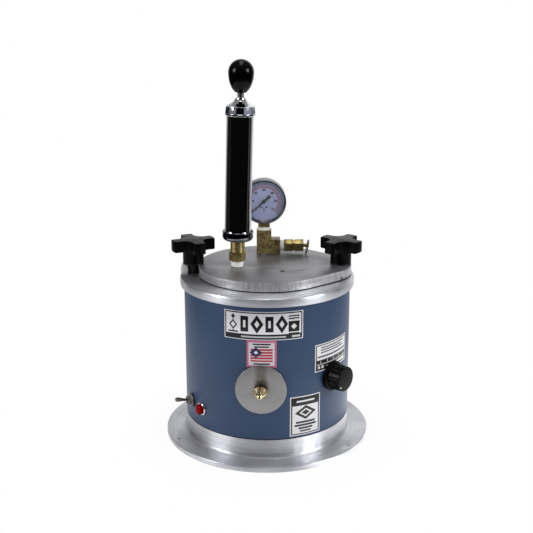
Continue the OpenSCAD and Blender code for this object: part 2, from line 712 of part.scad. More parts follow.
module pump_base_cap() color(chrome) on_pump() translate([0, 0, cap_s]) difference() {
    rotate_extrude() polygon(concat([[0, 0]],
        [for (a = [0 : 15 : 90]) [base_cap_d / 2 - 5 + 5 * sin(a), 5 - 5 * cos(a)]],
        [[base_cap_d / 2, base_cap_h - 2.6], [base_cap_d / 2 - 0.6, base_cap_h - 2],
         [base_cap_d / 2 - 0.6, base_cap_h], [0, base_cap_h]]));
    translate([0, 0, cap_floor]) cylinder(d = barrel_d, h = base_cap_h);
    translate([0, 0, -eps]) cylinder(r = thread_r, h = base_cap_h);
}
module pump_barrel() color(chrome) on_pump() translate([0, 0, barrel_s])
    ring(barrel_d / 2, pump_in_r, band_s + socket_h - barrel_s);
module pump_top_cap() color(chrome) on_pump() translate([0, 0, band_s]) difference() {
    rotate_extrude() polygon(concat(
        [[0, 0], [top_cap_d / 2 - 0.6, 0], [top_cap_d / 2, 0.6], [top_cap_d / 2, top_cap_h - 0.6],
         [top_cap_d / 2 - 0.6, top_cap_h]],
        [for (t = [0 : 0.125 : 1]) [cone_top_r + (top_cap_d / 2 - 1.6 - cone_top_r) * pow(1 - t, 1.25),
                                    top_cap_h + top_cone_h * t]],
        [[0, top_cap_h + top_cone_h]]));
    translate([0, 0, -eps]) cylinder(d = barrel_d, h = socket_h + eps);
    translate([0, 0, -eps]) cylinder(d = rod_d + 2 * fit, h = top_cap_h + top_cone_h + 1);
}
cone_top_r = 6;
module pump_rod() color(chrome) on_pump() translate([0, 0, piston_s])
    cylinder(d = rod_d, h = ball_s + 10 - piston_s);
module pump_piston() color(brass) on_pump() translate([0, 0, piston_s])
    ring(pump_in_r - 0.6, rod_d / 2, piston_h);
module pump_cup() color("#4a3420") on_pump() translate([0, 0, cup_s])
    cylinder(r = pump_in_r - loose, h = cup_h);
ball_flat_r = 6.5;
ball_rise = ball_h - ball_d / 2;
module pump_ball() color(black) on_pump() translate([0, 0, ball_s]) difference() {
    rotate_extrude() polygon(concat([[0, 0]],
        [for (t = [0 : 0.1 : 1]) let (u = 1 - t)
            [ball_d / 2 * sqrt(1 - u * u * (1 - pow(2 * ball_flat_r / ball_d, 2))), ball_rise * t]],
        [for (a = [10 : 10 : 90]) [ball_d / 2 * cos(a), ball_rise + ball_d / 2 * sin(a)]]));
    translate([0, 0, -eps]) cylinder(d = rod_d, h = 10 + eps);
}

// ---- tee ----
module tee() color(brass) difference() {
    union() {
        translate([tee_x - tee_w / 2, tee_y - tee_depth / 2, tee_z]) cube([tee_w, tee_depth, tee_h]);
        translate([tee_x, tee_y - tee_depth / 2, tee_z]) cube([tee_w / 2 + arm_reach, tee_depth, arm_h]);
        translate([tee_x, tee_y, lid_z + 0.6]) cylinder(r = thread_r, h = lid_t + 2);
    }
    translate([tee_x, tee_y, lid_z]) cylinder(r = 3, h = tee_top - lid_z + 1);
    translate([tee_x, tee_y, tee_top - 10]) cylinder(r = thread_r, h = 11);
    on_arm(tee_x) cylinder(r = 2.5, h = 40);
    on_arm(arm_x - 8) cylinder(r = relief_thread_r, h = 9);
}

// ---- gauge ----
module gauge_stem() color(brass) difference() {
    union() {
        translate([tee_x, tee_y, tee_top - 10]) cylinder(r = thread_r, h = stem_z - tee_top + 11);
        translate([tee_x - stem_w / 2, tee_y - stem_w / 2, stem_z]) cube([stem_w, stem_w, stem_top - stem_z]);
        translate([tee_x - socket_w / 2, tee_y - socket_d / 2 + 1, stem_z + 2])
            cube([socket_w, socket_d, socket_top - stem_z - 2]);
    }
    translate([tee_x, tee_y, tee_top - 11]) cylinder(r = 1.5, h = 24);
}
module gauge_case() color(black) difference() {
    on_gauge(gauge_y + 2) cylinder(r = case_r, h = gauge_depth - 2);
    on_gauge(gauge_y + 2 - eps) cylinder(r = case_r - case_wall, h = gauge_depth - 2 - case_wall + eps);
    translate([tee_x - stem_w / 2, tee_y - stem_w / 2, gauge_z - case_r - 5])
        cube([stem_w, stem_w, stem_top - gauge_z + case_r + 5]);
}
module gauge_bezel() color(black) on_gauge(gauge_y) rotate_extrude()
    polygon([[gauge_r - 2.6, 0], [gauge_r - 0.9, 0], [gauge_r, 1], [gauge_r, bezel_w],
        [case_r, bezel_w], [case_r, bezel_lip], [gauge_r - 2.6, bezel_lip]]);
module gauge_lens() color("#dfe8ee", 0.35) on_gauge(lens_y) cylinder(r = case_r - case_wall - fit, h = lens_t);
module gauge_dial() color("#eef1f8") difference() {
    on_gauge(dial_y) cylinder(r = dial_r, h = dial_t);
    on_gauge(dial_y - eps) cylinder(r = pinion_r + loose, h = 1);
}
movement_t = 3;
module gauge_movement() color("#c9a24a") {
    back = dial_y + dial_t;
    difference() {
        union() {
            on_gauge(back + movement_t + 1) difference() {
                ring(tube_r + tube_t / 2, tube_r - tube_t / 2, tube_w);
                rotate(148) sector(3 * tube_r, tube_w, 50);
            }
            translate([tee_x - 3, back, socket_top]) cube([6, movement_t, gauge_z - socket_top + 4]);
            translate([tee_x - 3, back, socket_top]) cube([6, movement_t + 1 + tube_w, 3.8]);
        }
        on_gauge(dial_y) cylinder(r = pinion_r + fit, h = 12);
    }
}
pinion_r = 1;
module gauge_needle() color(black) {
    on_gauge(needle_y - 0.6) cylinder(r = 2.6, h = 1.8);
    on_gauge(needle_y) cylinder(r = pinion_r, h = dial_y - needle_y + dial_t + movement_t + 1.5);
    translate([tee_x, needle_y, gauge_z]) rotate([0, -needle_angle, 0]) rotate([-90, 0, 0])
        linear_extrude(needle_t) polygon([[-10.5, -1.3], [0, -1.3], [dial_r - 3, -0.3],
            [dial_r - 3, 0.3], [0, 1.3], [-10.5, 1.3]]);
}

// ---- relief valve ----
module relief_body() color(brass) difference() {
    union() {
        on_arm(arm_x - 8) cylinder(r = relief_thread_r, h = 8 + relief_x - arm_x);
        on_arm(relief_x) hex(relief_af, relief_len * 0.46);
        on_arm(relief_x) cylinder(d = relief_af - 1, h = relief_len);
        on_arm(relief_x + relief_len * 0.54) hex(relief_af, relief_len * 0.46);
    }
    on_arm(seat_x - 5) cylinder(r = 2, h = 10);
    on_arm(arm_x - 9) cylinder(r = 2, h = 12);
    on_arm(seat_x) cylinder(r = relief_bore_r, h = relief_end - relief_cap_t - seat_x);
    on_arm(relief_end - relief_cap_t - 1) cylinder(r = relief_stem_d / 2 + fit, h = relief_cap_t + 2);
    translate([seat_x + 3.5, tee_y, arm_z]) rotate([90, 0, 0]) cylinder(r = 1.2, h = 12);
}
module relief_spring() color(steel) on_arm(seat_x + poppet_t + 0.05)
    coil(3.2, 0.8, relief_end - relief_cap_t - seat_x - poppet_t - 0.1, 5);
module relief_stem() color(brass) difference() {
    union() {
        on_arm(seat_x) cylinder(r = poppet_r, h = poppet_t);
        on_arm(seat_x) cylinder(d = relief_stem_d, h = stem_end - seat_x);
    }
    translate([ring_x, tee_y, arm_z]) rotate([0, pull_ring_lean, 0])
        translate([0, 0, -5]) cylinder(r = pull_wire_d / 2 + 0.55, h = 10);
}
module pull_ring() color(steel) translate([ring_x, tee_y, arm_z]) rotate([0, pull_ring_lean, 0])
    translate([0, -pull_r, 0]) rotate([0, 90, 0]) rotate_extrude() translate([pull_r, 0])
        circle(d = pull_wire_d, $fn = 24);

// ---- clamp knobs ----
module knob_outline() difference() {
    union() {
        circle(d = knob_d * 0.62);
        for (a = [0, 90]) rotate(a) {
            translate([-knob_d / 2 + 3, -lobe_end_r]) square([knob_d - 6, 2 * lobe_end_r]);
            for (end = [-1, 1]) translate([end * (knob_d / 2 - 3), -lobe_end_r]) translate([-3, 0])
                square([6, 2 * lobe_end_r]);
        }
    }
    for (a = [45 : 90 : 315]) rotate(a) translate([knob_d * 0.47, 0]) circle(r = knob_d * 0.2);
}
module clamp_knob(side, turn) color(black) translate([side * stud_x, 0, 0]) difference() {
    union() {
        translate([0, 0, hub_z]) cylinder(r1 = knob_hub_d / 2 - 0.4, r2 = knob_hub_d / 2, h = 0.4);
        translate([0, 0, hub_z + 0.4]) cylinder(d = knob_hub_d, h = lobe_z - hub_z + 1);
        rotate([0, 0, turn]) translate([0, 0, lobe_z]) intersection() {
            linear_extrude(knob_lobe_h) knob_outline();
            rotate_extrude() polygon([[0, 0], [knob_d / 2 - 1, 0], [knob_d / 2, 1],
                [knob_d / 2, knob_lobe_h - 1], [knob_d / 2 - 1, knob_lobe_h], [0, knob_lobe_h]]);
        }
    }
    translate([0, 0, hub_z - eps]) cylinder(r = stud_d / 2 + fit, h = knob_bore_top - hub_z);
}
module clamp_knob_left() clamp_knob(-1, knob_turn_left);
module clamp_knob_right() clamp_knob(1, knob_turn_right);
module clamp_washer(side) color(steel) translate([side * stud_x, 0, lid_top])
    ring(washer_r, stud_d / 2 + fit, washer_t);
module clamp_washer_left() clamp_washer(-1);
module clamp_washer_right() clamp_washer(1);

base_ring();
bottom_plate();
bottom_screws();
body_shell();
tank();
lid_seal();
clamp_studs();
heel_block();
tie_rods();
tie_rod_nuts();
heater_band();
heater_screw();
insulation_ring();
thermostat_body();
thermostat_nut();
switch_body();
switch_nut();
switch_washer();
lamp_bezel();
lamp_lens();
nozzle_disc();
valve_body();
packing_nut();
valve_spring();
cord_gland();
name_plate();
labels();
lid();
lid_plug();
pump_adapter();
thread_tape();
pump_base_cap();
pump_barrel();
pump_top_cap();
tee();
gauge_case();
gauge_stem();
gauge_movement();
gauge_dial();
gauge_bezel();
gauge_lens();
relief_body();
relief_spring();
pump_rod();
pump_piston();
pump_cup();
pump_ball();
gauge_needle();
relief_stem();
pull_ring();
nozzle_tip();
thermostat_knob();
thermostat_shaft();
switch_lever();
clamp_knob_left();
clamp_knob_right();
clamp_washer_left();
clamp_washer_right();
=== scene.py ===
"""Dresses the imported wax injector: new pieces, finishes, studio and camera."""
import logging
import math
from dataclasses import dataclass, field
from enum import Enum
from typing import Callable, Sequence

import bpy
from mathutils import Euler, Matrix, Vector


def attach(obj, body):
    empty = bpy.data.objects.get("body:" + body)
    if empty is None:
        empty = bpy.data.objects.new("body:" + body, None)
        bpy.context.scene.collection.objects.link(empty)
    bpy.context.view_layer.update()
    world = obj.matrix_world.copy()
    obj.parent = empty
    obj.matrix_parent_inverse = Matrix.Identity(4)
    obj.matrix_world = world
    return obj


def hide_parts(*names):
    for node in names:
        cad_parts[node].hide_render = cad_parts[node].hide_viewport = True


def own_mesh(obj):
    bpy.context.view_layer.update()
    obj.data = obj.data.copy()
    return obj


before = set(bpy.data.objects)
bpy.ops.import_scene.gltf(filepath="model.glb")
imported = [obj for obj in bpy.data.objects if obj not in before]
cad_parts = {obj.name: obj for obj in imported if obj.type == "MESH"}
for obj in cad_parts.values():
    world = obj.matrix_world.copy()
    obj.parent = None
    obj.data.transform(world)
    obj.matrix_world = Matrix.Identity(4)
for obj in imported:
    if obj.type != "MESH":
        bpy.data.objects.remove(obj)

log = logging.getLogger("wax_injector")

MM = 0.001
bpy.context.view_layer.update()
Profile = Sequence[tuple[float, float]]

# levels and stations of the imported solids, in millimetres
BODY_R = 101.6
LID_TOP = 217.7
LEFT_STUD = (-90.0, 0.0, 0.0)
TEE_X, TEE_Y, ARM_Z = -3.9, 46.0, 228.0
GAUGE_CENTRE = (TEE_X, 33.6, 286.2)
NOZZLE_AT = (-94.0, 94.0)  # azimuth in degrees, and height

# width of the slow changes of tone on every surface, in millimetres
DRIFT_MM = 38
# vertices nearer than this are one, in metres
MERGE = 2e-6


class Grain(Enum):
    """How a surface was made, which sets the pattern that its material draws."""

    FINE = "fine"        # moulded, plated or sprayed: an even speckle
    TURNED = "turned"    # rings round the piece's own axis
    BRUSHED = "brushed"  # long scratches along the piece's own x axis
    CAST = "cast"        # lumpy sand-cast or sawn skin
    MILLED = "milled"    # cutter marks that stand upright on the sides


# how far each grain is drawn out along the piece's own axes
STRETCH = {Grain.BRUSHED: (0.04, 1.0, 1.0), Grain.MILLED: (1.0, 1.0, 0.08)}

# a ramp that starts and ends gently
SOFT = {"interpolation_type": "SMOOTHSTEP"}


def linear(code: str) -> tuple[float, float, float, float]:
    """Turns an sRGB hex colour to linear light.

    Args:
        code: six hex digits.

    Returns:
        Red, green, blue and a full alpha.
    """
    parts = [int(code[i:i + 2], 16) / 255 for i in (0, 2, 4)]
    low = [p / 12.92 if p <= 0.04045 else ((p + 0.055) / 1.055) ** 2.4 for p in parts]
    return (*low, 1.0)


def put(tree: bpy.types.NodeTree, kind: str, feeds: dict | None = None, **settings) -> bpy.types.Node:
    """Adds one node with its settings, values and links.

    Args:
        tree: the node tree.
        kind: the node's type without "ShaderNode".
        feeds: input name or number to a value or to another node's output.
        settings: properties of the node.

    Returns:
        The new node.
    """
    made = tree.nodes.new("ShaderNode" + kind)
    for key, value in settings.items():
        setattr(made, key, value)
    for key, value in (feeds or {}).items():
        if isinstance(value, bpy.types.NodeSocket):
            tree.links.new(value, made.inputs[key])
        else:
            made.inputs[key].default_value = value
    return made


@dataclass(frozen=True)
class Seat:
    """Where a piece's own axes sit in the frame."""

    at: tuple[float, float, float] = (0.0, 0.0, 0.0)
    turn: tuple[float, float, float] = (0.0, 0.0, 0.0)

    def matrix(self) -> Matrix:
        """The seat as a matrix in metres."""
        spin = Euler([math.radians(a) for a in self.turn]).to_matrix().to_4x4()
        return Matrix.Translation(Vector(self.at) * MM) @ spin


def radial(azimuth: float, z: float, out: float = 0.0) -> Seat:
    """A seat on the body whose z axis points outwards.

    Args:
        azimuth: the way outwards from +X, in degrees.
        z: height in millimetres.
        out: distance from the body's axis in millimetres.

    Returns:
        The seat.
    """
    a = math.radians(azimuth)
    return Seat((out * math.cos(a), out * math.sin(a), z), (0, 90, azimuth))


# the axes that pieces are turned on and that their grain follows
UPRIGHT = Seat()
PUMP = Seat((-36.2, -13.2, LID_TOP), (0, 1.6, 0))
NOZZLE = radial(*NOZZLE_AT)
THERMOSTAT = radial(-40.5, 97.5)
TEE = Seat((TEE_X, TEE_Y, 0))
ARM = Seat((0, TEE_Y, ARM_Z), (0, 90, 0))
GAUGE = Seat(GAUGE_CENTRE, (-90, 0, 0))


def off_axis(tree: bpy.types.NodeTree, own: bpy.types.Node, centre: tuple = (0.0, 0.0, 0.0)
             ) -> bpy.types.NodeSocket:
    """How far a point lies from an upright line, as seen along the line.

    Args:
        tree: the node tree.
        own: the Separate XYZ node that gives the point.
        centre: where the line stands, in millimetres.

    Returns:
        The distance in metres.
    """
    flat = put(tree, "CombineXYZ", {0: own.outputs[0], 1: own.outputs[1]}).outputs[0]
    return put(tree, "VectorMath", {0: flat, 1: Vector(centre) * MM}, operation="DISTANCE").outputs["Value"]


@dataclass(frozen=True)
class Finish:
    """One surface finish: its colour, gloss and the marks its making left.

    Attributes:
        name: the material's name.
        colour: the paler tone, in hex digits.
        shade: the darker tone, in hex digits.
        roughness: the middle roughness.
        metallic: 1 for bare metal, less where oxide or dirt covers some of it.
        ior: refractive index; a metal keeps the default.
        grain: how the surface was made.
        grain_mm: size of one mark of the grain.
        depth_mm: depth of the grain's marks.
        spread: how far the grain moves the roughness either way.
        clear: transmission weight.
        gleam: specular level; below 0.5 for a surface dulled by dust or age.
        drawn: anisotropy, for lathe rings that draw a highlight out across them.
        seat: the piece's own axes, which the grain follows.
    """

    name: str
    colour: str
    shade: str
    roughness: float
    metallic: float = 0.0
    ior: float = 1.5
    grain: Grain = Grain.FINE
    grain_mm: float = 1.0
    depth_mm: float = 0.02
    spread: float = 0.06
    clear: float = 0.0
    gleam: float = 0.5
    drawn: float = 0.0
    seat: Seat = UPRIGHT

    def points(self, tree: bpy.types.NodeTree) -> bpy.types.NodeSocket:
        """The piece's own coordinates, centred and turned to its seat.

        Args:
            tree: the material's node tree.

        Returns:
            The coordinates in metres.
        """
        where = put(tree, "TexCoord").outputs["Object"]
        return put(tree, "Mapping", {"Vector": where, "Location": Vector(self.seat.at) * MM,
                   "Rotation": [math.radians(a) for a in self.seat.turn]},
                   vector_type="TEXTURE").outputs["Vector"]

    def pattern(self, tree: bpy.types.NodeTree) -> bpy.types.NodeSocket:
        """The grain, drawn by how the surface was made.

        Args:
            tree: the material's node tree.

        Returns:
            A number from 0 to 1.
        """
        own = self.points(tree)
        scale = 1 / (self.grain_mm * MM)
        if self.grain is Grain.TURNED:
            split = put(tree, "SeparateXYZ", {0: own})
            radius = off_axis(tree, split)
            angle = put(tree, "Math", {0: split.outputs[1], 1: split.outputs[0]}, operation="ARCTAN2")
            slow = put(tree, "Math", {0: angle.outputs[0], 1: 0.001}, operation="MULTIPLY").outputs[0]
            own = put(tree, "CombineXYZ", {0: radius, 1: slow, 2: split.outputs[2]}).outputs[0]
        elif self.grain in STRETCH:
            own = put(tree, "VectorMath", {0: own, 1: STRETCH[self.grain]}, operation="MULTIPLY").outputs[0]
        detail = 6.0 if self.grain is Grain.CAST else 3.0
        return put(tree, "TexNoise", {"Vector": own, "Scale": scale, "Detail": detail,
                   "Roughness": 0.6}).outputs["Fac"]

    def colours(self, tree: bpy.types.NodeTree, grain: bpy.types.NodeSocket) -> bpy.types.NodeSocket:
        """The colour, mixed between the two tones by the grain and a slow drift.

        Args:
            tree: the material's node tree.
            grain: the grain, from 0 to 1.

        Returns:
            The colour.
        """
        drift = put(tree, "TexNoise", {"Vector": self.points(tree), "Scale": 1 / (DRIFT_MM * MM),
                    "Detail": 2.0}).outputs["Fac"]
        both = put(tree, "Mix", {0: 0.45, "A": grain, "B": drift}).outputs[0]
        spread = put(tree, "MapRange", {"Value": both, "From Min": 0.36, "From Max": 0.62}).outputs[0]
        return put(tree, "Mix", {"Factor": spread, "A": linear(self.shade), "B": linear(self.colour)},
                   data_type="RGBA").outputs[2]

    def shade_mask(self, tree: bpy.types.NodeTree) -> bpy.types.NodeSocket | None:
        """Where painted shade hides the surface and leaves no gleam, from 0 to 1; None where there is none.
        """
        return None

    def across(self, tree: bpy.types.NodeTree) -> bpy.types.NodeSocket:
        """The way across the lathe rings, along which they draw a highlight out.

        Args:
            tree: the material's node tree.

        Returns:
            A direction along the surface.
        """
        spin = self.seat.matrix().to_3x3() @ Vector((0, 0, 1))
        where = put(tree, "TexCoord").outputs["Object"]
        own = put(tree, "VectorMath", {0: where, 1: Vector(self.seat.at) * MM}, operation="SUBTRACT")
        ring = put(tree, "VectorMath", {0: spin, 1: own.outputs[0]}, operation="CROSS_PRODUCT").outputs[0]
        flat = put(tree, "NewGeometry").outputs["Normal"]
        return put(tree, "VectorMath", {0: flat, 1: ring}, operation="CROSS_PRODUCT").outputs[0]

    def material(self) -> bpy.types.Material:
        """Builds the material, once for each finish name.

        Returns:
            The material.
        """
        if self.name in bpy.data.materials:
            return bpy.data.materials[self.name]
        made = bpy.data.materials.new(self.name)
        made.use_nodes = True
        tree = made.node_tree
        tree.nodes.clear()
        grain = self.pattern(tree)
        rough = put(tree, "MapRange", {"Value": grain, "From Min": 0.3, "From Max": 0.7,
                    "To Min": max(0.02, self.roughness - self.spread),
                    "To Max": self.roughness + self.spread}).outputs[0]
        bump = put(tree, "Bump", {"Height": grain, "Distance": self.depth_mm * MM, "Strength": 1.0})
        gloss = put(tree, "BsdfPrincipled", {"Base Color": self.colours(tree, grain),
                    "Roughness": rough, "Metallic": self.metallic,
                    "Transmission Weight": self.clear, "Specular IOR Level": self.gleam,
                    "Normal": bump.outputs[0]})
        if not self.metallic:
            gloss.inputs["IOR"].default_value = self.ior
        # painted shade from the skin's mask also takes away metal and gleam
        painted_shade = self.shade_mask(tree)
        if painted_shade:
            for key, full in (("Metallic", self.metallic), ("Specular IOR Level", self.gleam)):
                left = put(tree, "MapRange", {"Value": painted_shade, "To Min": full, "To Max": 0.0}).outputs[0]
                tree.links.new(left, gloss.inputs[key])
        if self.drawn:
            gloss.inputs["Anisotropic"].default_value = self.drawn
            tree.links.new(self.across(tree), gloss.inputs["Tangent"])
        put(tree, "OutputMaterial", {"Surface": gloss.outputs[0]})
        return made


# Cast aluminium, turned: soft grey, with lathe rings that draw each highlight out upright.
RING = Finish("flange_aluminium", "DADBE0", "B4B5BC", 0.43, 0.92, grain=Grain.TURNED,
              grain_mm=1.1, depth_mm=0.010, spread=0.07, drawn=0.75)
# Chromium plate over polished metal: mirror bright with the odd speck.
CHROME = Finish("chrome_plate", "E2E3E6", "D8DADE", 0.05, 1.0, grain_mm=2.2, depth_mm=0.001, spread=0.02)
# The lower cap's plate, painted darker as shaded chrome.
SHADED_CHROME = Finish("shaded_chrome_plate", "92949B", "7C7E85", 0.06, 1.0, grain_mm=2.0, depth_mm=0.001,
                     spread=0.02)
# The upper cap's wrench flats: the same plate, painted darker as shade and bluer as a painted reflection.
SHADED_BLUE_CHROME = Finish("shaded_blue_chrome_plate", "B2B6C4", "A2A6B4", 0.07, 1.0, grain_mm=2.0,
                        depth_mm=0.001, spread=0.02)
# Brass bar, turned and milled, pale and slightly tarnished.
BRASS = Finish("machined_brass", "E6D08E", "A68C50", 0.28, 0.92, grain_mm=1.2, depth_mm=0.010, spread=0.08)
# Cast brass with a brown, grainy skin, sawn upright.
CAST_BRASS = Finish("cast_brass", "C2AE72", "35291A", 0.40, 0.7, grain=Grain.CAST, grain_mm=2.6,
                    depth_mm=0.14, spread=0.12)
# Brass painted dark as shaded, behind the nozzle cone.
SHADED_BRASS = Finish("shaded_brass", "46381F", "21190D", 0.42, 0.6, grain_mm=1.2, depth_mm=0.010)
# Brass of the relief valve: duller and a little greener.
DULL_BRASS = Finish("dulled_brass", "B4A46C", "7C6A3C", 0.30, 0.85, grain_mm=1.1, depth_mm=0.012,
                    spread=0.08)
# The pump rod: ground, so its highlights are broad.
GROUND = Finish("ground_rod", "E2E3E6", "D2D4D8", 0.24, 1.0, grain_mm=1.6, depth_mm=0.001, spread=0.02)
# The switch's nut: nickel plate, dulled by handling.
NICKEL = Finish("dull_nickel", "C2BFB4", "7C7A70", 0.38, 0.7, grain_mm=0.9, depth_mm=0.03)
# The heel block: sawn bar with a pale matt skin.
SAWN = Finish("sawn_aluminium", "EDEDF0", "CFD0D4", 0.5, 0.45, grain_mm=1.2, depth_mm=0.02)
# Zinc plate on screws, rods and springs: an even grey gleam.
STEEL = Finish("zinc_plated_steel", "B4B6B9", "96989C", 0.30, 1.0, grain_mm=1.4, depth_mm=0.006)
# Bare steel browned by handling: the lid's plug, the pull ring and the switch's lever.
DARK_STEEL = Finish("dark_steel", "8A867F", "5D5952", 0.32, 1.0, grain_mm=1.2, depth_mm=0.008)
# Black oxide on the studs: soot-black with a thin oily gleam.
OXIDE = Finish("black_oxide_steel", "2A2A2C", "1C1C1E", 0.42, 0.6, grain_mm=1.0, depth_mm=0.008)
# Compression-moulded phenolic: black with a satin skin.
PHENOLIC = Finish("moulded_phenolic", "060607", "040405", 0.31, grain_mm=0.8, depth_mm=0.008, gleam=0.08)
# Polished phenolic ball: nearly a black mirror.
BALL = Finish("polished_phenolic", "030304", "020203", 0.17, grain_mm=3.0, depth_mm=0.0006,
              spread=0.02, gleam=0.13)
# Stoved enamel on the needle: black with a clear highlight.
ENAMEL = Finish("black_gauge_enamel", "101012", "09090A", 0.16, grain_mm=1.4, depth_mm=0.004,
                spread=0.04)
# The gauge's can and ring: satin black paint over steel, drawn an even dark grey.
CAN = Finish("satin_gauge_paint", "575863", "3E3F48", 0.25, 0.45, grain_mm=1.2, depth_mm=0.004, spread=0.05)
# Nitrile rubber of the seal: matt and nearly black. The stud's sleeve wears it too, as a dark piece that
# stands partly for a dark boss and partly for the shade round the stud.
RUBBER = Finish("nitrile_rubber", "232323", "181818", 0.62, grain_mm=0.9, depth_mm=0.02)
# Thread seal tape: matt white, with shallow creases.
TAPE = Finish("thread_seal_tape", "F4F4F2", "E0E0DE", 0.55, grain_mm=1.3, depth_mm=0.05)
# Flat window glass: clear, with hardly a ripple.
GLASS = Finish("gauge_glass", "FFFFFF", "F4F8FF", 0.03, ior=1.46, grain_mm=6.0, depth_mm=0.0003,
               spread=0.01, clear=1.0)
# Moulded red acrylic, unlit and dusty: deep red with a weak gleam.
RED_LENS = Finish("red_acrylic", "860004", "580206", 0.26, ior=1.49, grain_mm=1.4, depth_mm=0.012,
                  spread=0.05, gleam=0.05)
# Oiled leather of the pump's cup: brown and pebbled.
LEATHER = Finish("oiled_leather", "5A3C22", "3C2614", 0.58, grain=Grain.CAST, grain_mm=1.2, depth_mm=0.08)
# Glass-fibre felt round the pot: straw coloured and woolly.
FELT = Finish("glass_felt", "CFC6A6", "A89F80", 0.92, grain=Grain.CAST, grain_mm=1.8, depth_mm=0.30)
# The heater's steel jacket over mica: drawn grey sheet, dulled by heat.
MICA = Finish("mica_steel_band", "8C8578", "6A6459", 0.45, 1.0, grain=Grain.BRUSHED, grain_mm=0.8)
# Fired steatite of the thermostat: bone white and nearly matt.
STEATITE = Finish("steatite_ceramic", "CFC9BC", "B9B2A3", 0.55, ior=1.6, grain_mm=1.0)
# Hot-dip galvanised sheet: a broad, faint spangle.
GALVANISED = Finish("galvanised_sheet", "9EA1A5", "84878B", 0.44, 1.0, grain=Grain.CAST, grain_mm=7.0,
                    depth_mm=0.01)


class Bench:
    """The workbench: every mesh operation that the sub-assemblies share."""

    @staticmethod
    def clear() -> None:
        """Leaves nothing selected, in object mode."""
        if bpy.context.object and bpy.context.object.mode != "OBJECT":
            bpy.ops.object.mode_set(mode="OBJECT")
        bpy.ops.object.select_all(action="DESELECT")

    @staticmethod
    def take(piece: bpy.types.Object) -> None:
        """Selects one piece alone and makes it active."""
        Bench.clear()
        piece.select_set(True)
        bpy.context.view_layer.objects.active = piece

    @staticmethod
    def pick(piece: bpy.types.Object, kind: str, test: Callable) -> None:
        """Selects the vertices, edges or faces that pass a test, and goes to edit mode.

        Args:
            piece: the piece to work on.
            kind: VERT, EDGE or FACE.
            test: takes the mesh element and says whether it is selected.
        """
        Bench.take(piece)
        bpy.ops.object.mode_set(mode="EDIT")
        bpy.ops.mesh.select_mode(type=kind)
        bpy.ops.mesh.select_all(action="DESELECT")
        bpy.ops.object.mode_set(mode="OBJECT")
        group = {"VERT": piece.data.vertices, "EDGE": piece.data.edges, "FACE": piece.data.polygons}[kind]
        for element in group:
            element.select = test(element)
        bpy.ops.object.mode_set(mode="EDIT")

    @staticmethod
    def modifier(piece: bpy.types.Object, kind: str, **settings) -> None:
        """Adds a modifier, sets it and applies it.

        Args:
            piece: the piece to work on.
            kind: Blender's name for the modifier.
            settings: its properties.
        """
        Bench.take(piece)
        made = piece.modifiers.new(kind.title(), kind)
        for key, value in settings.items():
            setattr(made, key, value)
        bpy.ops.object.modifier_apply(modifier=made.name)

    @staticmethod
    def round_edges(piece: bpy.types.Object, width: float, segments: int = 3, angle: float = 32) -> None:
        """Bevels each edge sharper than the angle.

        Args:
            piece: the piece to work on.
            width: the bevel's width in millimetres.
            segments: faces across the bevel.
            angle: the least angle between faces, in degrees.
        """
        Bench.modifier(piece, "BEVEL", width=width * MM, segments=segments, limit_method="ANGLE",
                       angle_limit=math.radians(angle), use_clamp_overlap=True)

    @staticmethod
    def smooth(piece: bpy.types.Object, angle: float = 32) -> None:
        """Shades a piece smooth where its faces meet at less than the angle."""
        Bench.take(piece)
        bpy.ops.object.shade_smooth_by_angle(angle=math.radians(angle))

    @staticmethod
    def seat(piece: bpy.types.Object, seat: Seat) -> None:
        """Moves a piece modelled at the origin to its seat, and applies it."""
        Bench.take(piece)
        piece.matrix_world = seat.matrix() @ piece.matrix_world
        bpy.ops.object.transform_apply(location=True, rotation=True, scale=True)

    @staticmethod
    def tidy(piece: bpy.types.Object) -> None:
        """Merges doubles and points the faces outwards.

        Args:
            piece: the piece to work on.
        """
        Bench.pick(piece, "VERT", lambda v: True)
        bpy.ops.mesh.remove_doubles(threshold=MERGE)
        bpy.ops.mesh.normals_make_consistent(inside=False)
        bpy.ops.object.mode_set(mode="OBJECT")

    @staticmethod
    def chain(name: str, points: Profile) -> bpy.types.Object:
        """An open chain of edges in the XZ plane, extruded point by point from a plane's corner.

        Args:
            name: the new piece's name.
            points: (radius, height) pairs in millimetres.

        Returns:
            The new piece, in edit mode with its vertices still selected.
        """
        Bench.clear()
        bpy.ops.mesh.primitive_plane_add(size=2 * MM, location=(0, 0, 0))
        piece = bpy.context.object
        piece.name = name
        Bench.pick(piece, "VERT", lambda v: v.index > 0)
        bpy.ops.mesh.delete(type="VERT")
        Bench.pick(piece, "VERT", lambda v: True)
        (r0, z0), corner = points[0], piece.data.vertices[0].co.copy()
        bpy.ops.transform.translate(value=Vector((r0 * MM, 0, z0 * MM)) - corner)
        for (ra, za), (rb, zb) in zip(points, points[1:]):
            step = ((rb - ra) * MM, 0, (zb - za) * MM)
            bpy.ops.mesh.extrude_region_move(TRANSFORM_OT_translate={"value": step})
        return piece

    @staticmethod
    def lathe(name: str, profile: Profile, seat: Seat = UPRIGHT, steps: int = 96, edge: float = 0.0,
              smooth: float = 32) -> bpy.types.Object:
        """Turns a closed profile about its seat's z axis.

        Args:
            name: the new piece's name.
            profile: (radius, height) pairs in millimetres, from axis to axis or back to the start.
            seat: where the axis sits.
            steps: faces round the axis.
            edge: bevel on the sharp edges, in millimetres.
            smooth: the shading angle in degrees.

        Returns:
            The finished piece.
        """
        piece = Bench.chain(name, profile)
        bpy.ops.mesh.select_all(action="SELECT")
        bpy.ops.mesh.spin(steps=steps, angle=math.tau, center=(0, 0, 0), axis=(0, 0, 1))
        Bench.tidy(piece)
        if edge:
            Bench.round_edges(piece, edge)
        Bench.seat(piece, seat)
        Bench.smooth(piece, smooth)
        return piece

